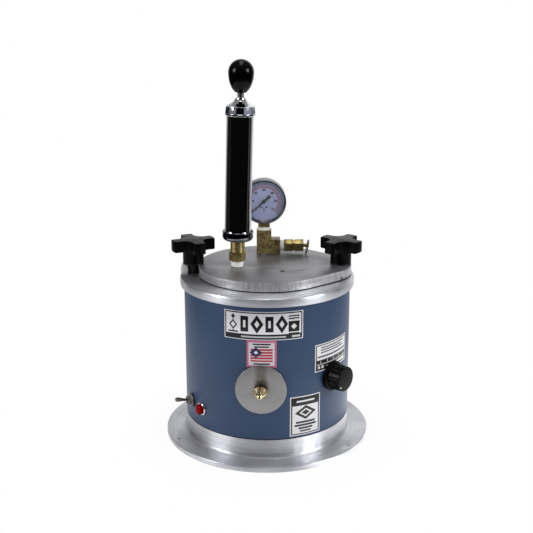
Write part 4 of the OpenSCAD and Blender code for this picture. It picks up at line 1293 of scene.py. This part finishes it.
@dataclass
class Nozzle:
    """The splash disc, packing nut and sprung nozzle cone."""

    def build(self) -> None:
        """Makes the disc, nut and cone."""
        # Stainless sheet, faced on a lathe: fine rings and a soft, even grey.
        skin = DiscSkin("brushed_stainless_disc", "A3A2A3", "929091", 0.38, 0.8, grain=Grain.TURNED,
                        grain_mm=0.7, depth_mm=0.003, spread=0.08, seat=NOZZLE)
        refine("nozzle_disc", "splash_disc", "housing", skin, "steel", 0.35)
        # the gland nut's brass is painted dark for the shade it sits in
        refine("packing_nut", "gland_nut", "housing", SHADED_BRASS, "brass", 0.35)
        # Brass polished by use: pale yellow and nearly a mirror.
        # painted shade in its bore and a painted dark reflection line above it
        cone = BoreSkin("polished_brass", "F4E6B4", "DEC888", 0.20, 1.0, grain_mm=1.4, depth_mm=0.001,
                        spread=0.03, seat=NOZZLE)
        refine("nozzle_tip", "nozzle_cone", "nozzle", cone, "brass", 0.3)


@dataclass(frozen=True)
class SwitchSkin(Finish):
    """Brown moulded phenolic behind the shell, with the threaded bushing in front of it nickel grey."""

    bushing: str = "6F6C64"

    def colours(self, tree: bpy.types.NodeTree, grain: bpy.types.NodeSocket) -> bpy.types.NodeSocket:
        """Greys what stands out of the shell.

        Args:
            tree: the material's node tree.
            grain: the grain, from 0 to 1.

        Returns:
            The colour.
        """
        split = put(tree, "SeparateXYZ", {0: put(tree, "TexCoord").outputs["Object"]})
        out = put(tree, "Math", {0: off_axis(tree, split), 1: BODY_R * MM}, operation="GREATER_THAN")
        return put(tree, "Mix", {"Factor": out.outputs[0], "A": super().colours(tree, grain),
                   "B": linear(self.bushing)}, data_type="RGBA").outputs[2]


@dataclass
class Controls:
    """Thermostat knob, toggle switch and pilot lamp."""

    dot_at: tuple = (8.0, -9.9, 122.4)
    dot: tuple = (1.1, 0, 0.12)

    def dot_seat(self) -> Seat:
        """The pointer dot's place on the knob's face, low on its left."""
        return Seat(tuple(THERMOSTAT.matrix() @ (Vector(self.dot_at) * MM) / MM), THERMOSTAT.turn)

    def build(self) -> None:
        """Makes the three controls on the shell."""
        refine("thermostat_knob", "dial_knob", "thermostat_dial", PHENOLIC, "black_plastic", 0.5)
        # Filled index paint: flat white.
        white = Finish("white_index_paint", "F0F0EE", "DCDCD8", 0.5, grain_mm=0.6).material()
        issue(Bench.lathe("knob_dot", bar(*self.dot), self.dot_seat(), 24), "thermostat_dial", white,
              "label_white")
        dress("thermostat_shaft", STEEL)
        # Compression-moulded phenolic with a wood filler: brown and half gloss.
        dress("switch_body", SwitchSkin("brown_phenolic", "4A362C", "35261F", 0.36, ior=1.6, grain_mm=0.9))
        refine("switch_nut", "toggle_nut", "housing", NICKEL, "chrome", 0.3)
        refine("switch_washer", "toggle_washer", "housing", OXIDE, "steel", 0.15, 2)
        refine("switch_lever", "toggle_bat", "switch_lever", DARK_STEEL, "chrome", smooth=50)
        refine("lamp_bezel", "lamp_ring", "housing", CHROME, "chrome", 0.25)
        refine("lamp_lens", "lamp_dome", "housing", RED_LENS, "red_lens", 0.15, smooth=50)


@dataclass
class Clamps:
    """The two four-lobed knobs and their washers."""

    edge: float = 1.5

    def build(self) -> None:
        """Rounds both knobs and their washers."""
        for side in ("left", "right"):
            refine(f"clamp_knob_{side}", f"star_knob_{side}", f"{side}_knob", PHENOLIC, "black_plastic",
                   self.edge, 4, 35)
            refine(f"clamp_washer_{side}", f"plain_washer_{side}", f"{side}_washer", OXIDE, "steel", 0.2, 2)


class Mark(Enum):
    """The plain shapes that a print is laid out with."""

    BOX = "box"      # an upright rectangle
    GEM = "gem"      # a rectangle on its corner
    WEDGE = "wedge"  # a triangle that widens to the right


BOX, GEM, WEDGE = Mark
# inks
BLACK, WHITE, SILVER, GREY = "0E0E11", "E2E2E5", "BCBEC3", "56565C"
RED, NAVY, PINK = "A8283A", "20244E", "B8607E"


@dataclass(frozen=True)
class Print(Finish):
    """A printed sheet on the shell: plain marks of ink by angle and height.

    Attributes:
        azimuth: the middle of the sheet, in degrees.
        half: half its angle, in degrees.
        low: its lower edge in millimetres.
        high: its upper edge in millimetres.
        blocks: the marks, each as shape, u, v, half width, half height and ink; u and v are
            millimetres from the middle of the sheet, along the shell and up.
    """

    azimuth: float = 0.0
    half: float = 10.0
    low: float = 0.0
    high: float = 10.0
    blocks: tuple = ()

    def colours(self, tree: bpy.types.NodeTree, grain: bpy.types.NodeSocket) -> bpy.types.NodeSocket:
        """Lays each mark over the base colour, the later over the earlier.

        Args:
            tree: the material's node tree.
            grain: the grain, from 0 to 1.

        Returns:
            The colour.
        """
        where = put(tree, "TexCoord").outputs["Object"]
        turned = put(tree, "VectorRotate", {"Vector": where, "Angle": -math.radians(self.azimuth)},
                     rotation_type="Z_AXIS").outputs[0]
        split = put(tree, "SeparateXYZ", {0: turned})
        angle = put(tree, "Math", {0: split.outputs[1], 1: split.outputs[0]}, operation="ARCTAN2")
        u = put(tree, "Math", {0: angle.outputs[0], 1: BODY_R}, operation="MULTIPLY").outputs[0]
        v = put(tree, "Math", {0: split.outputs[2], 1: 1 / MM, 2: -(self.low + self.high) / 2},
                operation="MULTIPLY_ADD").outputs[0]
        paint = super().colours(tree, grain)
        for shape, cu, cv, du, dv, ink in self.blocks:
            if shape is Mark.BOX:
                across = put(tree, "Math", {0: u, 1: cu, 2: du}, operation="COMPARE").outputs[0]
                along = put(tree, "Math", {0: v, 1: cv, 2: dv}, operation="COMPARE").outputs[0]
                mask = put(tree, "Math", {0: across, 1: along}, operation="MULTIPLY").outputs[0]
            else:
                across = put(tree, "Math", {0: u, 1: cu}, operation="SUBTRACT").outputs[0]
                along = put(tree, "Math", {0: v, 1: cv}, operation="SUBTRACT").outputs[0]
                along = put(tree, "Math", {0: along}, operation="ABSOLUTE").outputs[0]
                if shape is Mark.GEM:
                    across = put(tree, "Math", {0: across}, operation="ABSOLUTE").outputs[0]
                    ratio = put(tree, "Math", {0: along, 1: du / dv, 2: across}, operation="MULTIPLY_ADD")
                    mask = put(tree, "Math", {0: ratio.outputs[0], 1: du}, operation="LESS_THAN").outputs[0]
                else:
                    grown = put(tree, "Math", {0: across, 1: dv / (2 * du), 2: dv / 2},
                                operation="MULTIPLY_ADD").outputs[0]
                    inside = put(tree, "Math", {0: along, 1: grown}, operation="LESS_THAN").outputs[0]
                    ends = put(tree, "Math", {0: across, 1: 0.0, 2: du}, operation="COMPARE").outputs[0]
                    mask = put(tree, "Math", {0: inside, 1: ends}, operation="MULTIPLY").outputs[0]
            paint = put(tree, "Mix", {"Factor": mask, "A": paint, "B": linear(ink)},
                        data_type="RGBA").outputs[2]
        return paint


@dataclass
class Prints:
    """The name plate and the three printed sheets, laid out with plain marks."""

    steps: int = 28
    plate_t: float = 0.5
    paper_t: float = 0.3

    def sheet(self, name: str, kind: Print, thick: float) -> bpy.types.Object:
        """A curved sheet on the shell, spun from an upright edge and thickened.

        Args:
            name: the new piece's name.
            kind: the print, which says where the sheet lies.
            thick: its thickness in millimetres.

        Returns:
            The sheet.
        """
        piece = Bench.chain(name, [(BODY_R + thick, kind.low), (BODY_R + thick, kind.high)])
        bpy.ops.mesh.select_all(action="SELECT")
        bpy.ops.mesh.spin(steps=self.steps, angle=math.radians(2 * kind.half), center=(0, 0, 0),
                          axis=(0, 0, 1))
        Bench.tidy(piece)
        outward = piece.data.polygons[0].normal.dot(piece.data.polygons[0].center) > 0
        Bench.modifier(piece, "SOLIDIFY", thickness=thick * MM, offset=-1.0 if outward else 1.0)
        Bench.tidy(piece)
        # the spin's way isn't sure, so the turn is read from where the sheet's middle came to lie
        middle = sum((v.co for v in piece.data.vertices), Vector()) / len(piece.data.vertices)
        Bench.seat(piece, Seat(turn=(0, 0, kind.azimuth - math.degrees(math.atan2(middle.y, middle.x)))))
        Bench.round_edges(piece, min(0.12, thick / 3), 2, 60)
        Bench.smooth(piece, 30)
        return piece

    def build(self) -> None:
        """Makes the plate and the three sheets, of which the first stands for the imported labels."""
        # Brushed aluminium plate, screen printed: long fine scratches under flat ink.
        plate = Print("name_plate_print", SILVER, "B4B6BA", 0.34, 0.35, grain=Grain.BRUSHED, grain_mm=0.5,
                      depth_mm=0.004, azimuth=-92.4, half=26.3, low=154.6, high=188.6, blocks=(
                          (BOX, 0, 0, 60, 30, WHITE), (BOX, 0, 0, 45.6, 16.2, BLACK),
                          (BOX, 0, 2.4, 44.2, 12.4, WHITE), (BOX, 0, -13.2, 26, 0.9, SILVER),
                          (BOX, 38, -13.2, 5, 1.2, SILVER), (GEM, -35.5, 10.4, 2.6, 3.0, BLACK),
                          (BOX, -35.5, 0, 0.6, 8.0, BLACK), (GEM, -35.5, 0.5, 5.0, 6.0, BLACK),
                          (GEM, -35.5, 0.5, 3.0, 3.6, WHITE), (BOX, -35.5, -7.8, 6.0, 0.9, BLACK),
                          (BOX, -22, 2.2, 4.6, 9.4, BLACK), (BOX, -22, 2.2, 1.4, 4.4, WHITE),
                          (GEM, -7.4, 2.2, 7.6, 11.2, BLACK), (GEM, -7.4, 2.2, 3.0, 4.6, WHITE),
                          (BOX, 7.0, 2.2, 4.6, 9.4, BLACK), (BOX, 7.0, 2.2, 1.4, 4.4, WHITE),
                          (GEM, 21.2, 2.2, 7.2, 11.2, BLACK), (GEM, 21.2, 2.2, 3.0, 4.6, WHITE),
                          (BOX, 35.5, 11.4, 6.5, 0.8, BLACK), (BOX, 35.5, 8.4, 6.5, 0.8, BLACK),
                          (BOX, 35.5, -1.2, 6.6, 6.4, BLACK), (GEM, 35.5, -1.2, 3.6, 3.6, WHITE),
                          (BOX, 35.5, -9.4, 6.5, 0.6, BLACK)))
        # Glossy printed paper under a clear film, here and on the two sheets that follow.
        sticker = Print("sticker_print", WHITE, "E2E0E4", 0.4, azimuth=-93.6, half=9.8, low=120.8, high=154,
                        blocks=((BOX, 0, 0, 17.4, 16.6, PINK), (BOX, 0, 0, 15.0, 14.2, "CAC5CB"),
                                (BOX, 0, 12.2, 10.5, 0.9, BLACK), (BOX, 0, 9.0, 8.5, 0.9, BLACK),
                                (BOX, 0, 5.4, 12.8, 1.2, RED), (BOX, 0, 2.0, 12.8, 1.2, RED),
                                (BOX, 0, -1.4, 12.8, 1.2, RED), (BOX, 0, -4.8, 12.8, 1.2, RED),
                                (BOX, 0, -8.2, 12.8, 1.0, RED), (GEM, -6.4, 2.0, 7.6, 6.6, NAVY),
                                (GEM, -6.4, 2.0, 2.4, 2.1, WHITE), (BOX, 0, -11.8, 9.5, 0.9, BLACK)))
        side = Print("side_print", WHITE, "E4E4E6", 0.4, azimuth=-63.4, half=11.3, low=32.4, high=82,
                     blocks=((BOX, 0, 0, 18.8, 23.6, BLACK), (BOX, 0, -4.6, 17.2, 17.7, WHITE),
                             (BOX, 0, 18.4, 12.0, 1.1, WHITE), (GEM, 0, 3.8, 14.0, 9.0, BLACK),
                             (GEM, 0, 3.8, 8.4, 5.4, WHITE), (GEM, 0, 3.8, 5.4, 3.4, BLACK),
                             (BOX, 0, -8.2, 12.6, 1.3, BLACK), (BOX, 0, -12.0, 14.4, 1.3, BLACK),
                             (BOX, 0, -15.8, 9.4, 1.2, BLACK), (BOX, 0, -19.4, 7.4, 1.0, BLACK)))
        dial = Print("temperature_print", WHITE, "E4E4E6", 0.4, azimuth=-39.4, half=17.2, low=108, high=142,
                     blocks=((BOX, 0, 0, 29.4, 15.9, BLACK), (BOX, 0, 5.9, 28.0, 8.8, WHITE),
                             (BOX, 0, 12.0, 22.0, 0.8, GREY), (BOX, -3, 9.0, 19.0, 0.8, GREY),
                             (BOX, 0, 6.0, 22.0, 0.8, GREY), (BOX, 0, 1.0, 27.0, 1.1, GREY),
                             (BOX, 0, -8.4, 28.0, 0.45, WHITE), (BOX, -24.5, -12.0, 1.6, 1.6, WHITE),
                             (BOX, -19.0, -12.0, 1.6, 1.6, WHITE), (WEDGE, 5.0, -12.0, 21.0, 2.2, WHITE),
                             (BOX, -22.0, -5.6, 0.4, 1.5, WHITE), (BOX, -11.0, -5.6, 0.4, 1.5, WHITE),
                             (BOX, 0.0, -5.6, 0.4, 1.5, WHITE), (BOX, 11.0, -5.6, 0.4, 1.5, WHITE),
                             (BOX, 22.0, -5.6, 0.4, 1.5, WHITE)))
        for kind, name, thick, slot, nodes in (
                (plate, "name_badge", self.plate_t, "plate_silver", ["name_plate"]),
                (sticker, "sticker_sheet", self.paper_t, "label_white", ["labels"]),
                (side, "side_sheet", self.paper_t, "label_white", []),
                (dial, "temperature_sheet", self.paper_t, "label_white", [])):
            issue(self.sheet(name, kind, thick), "housing", kind.material(), slot, *nodes)


# Ramps of the studio, from one place or direction to another. The floor's run outwards in metres,
# or round in the sine of the angle from the front; the room's run along one axis of a direction.
SHADOW_END = {"From Min": 0.125, "From Max": 0.20, "To Min": 0.95, "To Max": 1.0}
GLOW_END = {"From Min": 0.24, "From Max": 0.52, "To Min": 1.0, "To Max": 0.20}
GLOW_LEFT = {"From Min": -0.15, "From Max": -0.75, "To Min": 0.22, "To Max": 0.8}
GLOW_RIGHT = {"From Min": 0.15, "From Max": 0.60, "To Min": 0.22, "To Max": 1.8}
SWEEP_LEFT = {"From Min": -0.30, "From Max": 0.05, "To Min": 0.45, "To Max": 1.0}
SWEEP_EDGE = {"From Min": 0.60, "From Max": 0.72, "To Min": 0.002}
CEILING = {"From Min": 0.35, "From Max": 0.85, "To Min": 0.0, "To Max": 0.30}
DOOR_EDGE = {"From Min": 0.03, "From Max": 0.10, "To Max": 0.0}
DOOR_LEVEL = {"From Min": -0.2, "From Max": 0.2, "To Min": 0.03, "To Max": 0.10}
WING_EDGE = {"From Min": 0.22, "From Max": 0.42}
WING_LEVEL = {"From Min": -0.2, "From Max": 0.2, "To Min": 0.03, "To Max": 0.34}
CARD_PLACE = {"From Min": -0.1, "From Max": 0.1, "To Min": -0.30, "To Max": -0.48}
CARD_EDGE = {"From Min": 0.26, "From Max": 0.16}
CARD_FOOT = {"From Min": -0.06, "From Max": -0.01}
FOOT_LEVEL = {"From Min": -0.1, "From Max": 0.1, "To Min": 0.36, "To Max": 0.55}
CARD_START = {"From Min": 0.08, "From Max": 0.16}
CARD_TOP = {"From Min": 0.55, "From Max": 0.40}


@dataclass
class Studio:
    """Floor, sky, lamps and camera, in metres; a lamp has its name, place, size and watts."""

    camera_at: tuple = (0.0, -1.17997, 0.55314)
    pitch: float = 73.932
    lens: float = 67.711
    shift: float = -0.0011
    floor_r: float = 0.75
    card_level: float = 2.6
    room_level: float = 0.42
    door_y: float = -0.04
    aim_z: float = 0.2
    lamps: tuple = (
        ("key_left", (-1.54, -0.75, 0.95), (0.5, 0.7), 13.0),
        ("fill_right", (1.54, -0.72, 0.95), (0.5, 0.7), 16.5),
        ("top", (0.0, 0.05, 1.8), (0.5, 1.1), 6.5))

    def floor(self) -> None:
        """A pale disc that keeps the shadow near the object and fades to white; to metal it also glows near
        the object, brightest at its sides.
        """
        Bench.clear()
        bpy.ops.mesh.primitive_circle_add(vertices=128, radius=self.floor_r, fill_type="NGON")
        disc = bpy.context.object
        disc.name = "studio_floor"
        paper = bpy.data.materials.new("white_paper_sweep")
        paper.use_nodes = True
        tree = paper.node_tree
        tree.nodes.clear()
        where = put(tree, "TexCoord").outputs["Object"]
        away = put(tree, "VectorMath", {0: where}, operation="LENGTH").outputs["Value"]
        fade = put(tree, "MapRange", {"Value": away, **SHADOW_END}, **SOFT).outputs[0]
        path = put(tree, "LightPath")
        near = put(tree, "MapRange", {"Value": away, **GLOW_END}, **SOFT).outputs[0]
        flank = put(tree, "Math", {0: put(tree, "SeparateXYZ", {0: where}).outputs[0], 1: away},
                    operation="DIVIDE").outputs[0]
        left = put(tree, "MapRange", {"Value": flank, **GLOW_LEFT}, **SOFT).outputs[0]
        right = put(tree, "MapRange", {"Value": flank, **GLOW_RIGHT}, **SOFT).outputs[0]
        flank = put(tree, "Math", {0: left, 1: right}, operation="MAXIMUM").outputs[0]
        near = put(tree, "Math", {0: near, 1: flank}, operation="MULTIPLY").outputs[0]
        mirror = put(tree, "Math", {0: path.outputs["Is Glossy Ray"], 1: near}, operation="MULTIPLY")
        seen = put(tree, "Math", {0: path.outputs["Is Camera Ray"], 1: mirror.outputs[0]},
                   operation="MAXIMUM").outputs[0]
        fade = put(tree, "Math", {0: fade, 1: seen}, operation="MULTIPLY").outputs[0]
        burn = put(tree, "Math", {0: mirror.outputs[0], 1: 1.0}, operation="MAXIMUM").outputs[0]
        fibre = put(tree, "TexNoise", {"Vector": where, "Scale": 900.0}).outputs["Fac"]
        tone = put(tree, "Mix", {"Factor": fibre, "A": linear("E9E9EA"), "B": linear("F4F4F5")},
                   data_type="RGBA").outputs[2]
        paper_skin = put(tree, "BsdfPrincipled", {"Base Color": tone, "Roughness": 0.8})
        glow = put(tree, "Emission", {"Color": (1, 1, 1, 1), "Strength": burn})
        mixed = put(tree, "MixShader", {0: fade, 1: paper_skin.outputs[0], 2: glow.outputs[0]})
        put(tree, "OutputMaterial", {"Surface": mixed.outputs[0]})
        disc.data.materials.append(paper)

    def sky(self) -> None:
        """White to the camera; to metal, a white sweep behind and a dark room in front."""
        world = bpy.data.worlds.new("studio")
        bpy.context.scene.world = world
        world.use_nodes = True
        tree = world.node_tree
        tree.nodes.clear()
        way = put(tree, "SeparateXYZ", {0: put(tree, "TexCoord").outputs["Generated"]})
        sweep = put(tree, "MapRange", {"Value": way.outputs[0], **SWEEP_LEFT}, **SOFT).outputs[0]
        back = put(tree, "MapRange", {"Value": way.outputs[1], **SWEEP_EDGE, "To Max": sweep}, **SOFT)
        over = put(tree, "MapRange", {"Value": way.outputs[2], **CEILING}, **SOFT)
        off = put(tree, "Math", {0: way.outputs[1], 1: self.door_y}, operation="SUBTRACT").outputs[0]
        off = put(tree, "Math", {0: off}, operation="ABSOLUTE").outputs[0]
        side = put(tree, "MapRange", {"Value": way.outputs[0], **DOOR_LEVEL}).outputs[0]
        door = put(tree, "MapRange", {"Value": off, **DOOR_EDGE, "To Min": side}, **SOFT).outputs[0]
        wing = put(tree, "MapRange", {"Value": way.outputs[1], **WING_EDGE}, **SOFT).outputs[0]
        lit = put(tree, "MapRange", {"Value": way.outputs[0], **WING_LEVEL}).outputs[0]
        wing = put(tree, "Math", {0: wing, 1: lit}, operation="MULTIPLY").outputs[0]
        room = back.outputs[0]
        for other in (over.outputs[0], wing, self.cards(tree, way), door):
            room = put(tree, "Math", {0: room, 1: other}, operation="MAXIMUM").outputs[0]
        path = put(tree, "LightPath")
        level = put(tree, "Mix", {"Factor": path.outputs["Is Glossy Ray"], "A": self.room_level, "B": room})
        clear = put(tree, "Math", {0: path.outputs["Is Camera Ray"], 1: path.outputs["Is Transmission Ray"]},
                    operation="MAXIMUM").outputs[0]
        level = put(tree, "Mix", {"Factor": clear, "A": level.outputs[0], "B": 1.0}).outputs[0]
        paint = put(tree, "Background", {"Color": (1, 1, 1, 1), "Strength": level})
        put(tree, "OutputWorld", {"Surface": paint.outputs[0]})

    def cards(self, tree: bpy.types.NodeTree, way: bpy.types.Node) -> bpy.types.NodeSocket:
        """The bright cards that stand low at both sides, as the metal sees them.

        Args:
            tree: the world's node tree.
            way: the Separate XYZ node of the direction that is looked along.

        Returns:
            The cards' brightness.
        """
        across, height = way.outputs[0], way.outputs[2]
        middle = put(tree, "MapRange", {"Value": across, **CARD_PLACE}).outputs[0]
        off = put(tree, "Math", {0: way.outputs[1], 1: middle}, operation="SUBTRACT").outputs[0]
        off = put(tree, "Math", {0: off}, operation="ABSOLUTE").outputs[0]
        wide = put(tree, "MapRange", {"Value": off, **CARD_EDGE}, **SOFT).outputs[0]
        lit = put(tree, "MapRange", {"Value": across, **FOOT_LEVEL}).outputs[0]
        foot = put(tree, "MapRange", {"Value": height, **CARD_FOOT, "To Max": lit})
        card = put(tree, "MapRange", {"Value": height, **CARD_START, "To Max": self.card_level}).outputs[0]
        top = put(tree, "MapRange", {"Value": height, **CARD_TOP}).outputs[0]
        level = put(tree, "Math", {0: foot.outputs[0], 1: card}, operation="MAXIMUM").outputs[0]
        level = put(tree, "Math", {0: level, 1: top}, operation="MULTIPLY").outputs[0]
        return put(tree, "Math", {0: level, 1: wide}, operation="MULTIPLY").outputs[0]

    def lights(self) -> None:
        """Soft boxes, aimed at the middle of the object."""
        for name, at, (wide, tall), power in self.lamps:
            Bench.clear()
            aim = (Vector((0, 0, self.aim_z)) - Vector(at)).to_track_quat("-Z", "Y").to_euler()
            bpy.ops.object.light_add(type="AREA", location=at, rotation=aim)
            lamp = bpy.context.object
            lamp.name = name
            lamp.data.shape, lamp.data.size, lamp.data.size_y = "RECTANGLE", wide, tall
            lamp.data.energy = power

    def camera(self) -> None:
        """The camera at the photograph's angle."""
        Bench.clear()
        bpy.ops.object.camera_add(location=self.camera_at, rotation=(math.radians(self.pitch), 0, 0))
        eye = bpy.context.object
        eye.data.lens, eye.data.sensor_width, eye.data.shift_x = self.lens, 36.0, self.shift
        bpy.context.scene.camera = eye

    def build(self) -> None:
        """Sets the stage."""
        bpy.context.scene.view_settings.view_transform = "Standard"
        self.camera()
        self.floor()
        self.sky()
        self.lights()


def main() -> None:
    """Builds the stage, then each sub-assembly."""
    logging.basicConfig(level=logging.INFO, format="%(name)s %(message)s")
    for part in (Studio(), Housing(), Lid(), AirPump(), ThreadTape(), GaugeTree(), ReliefValve(),
                 Springs(), Nozzle(), Controls(), Clamps(), Prints()):
        log.info("building %s", type(part).__name__)
        part.build()


if __name__ == "__main__":
    main()
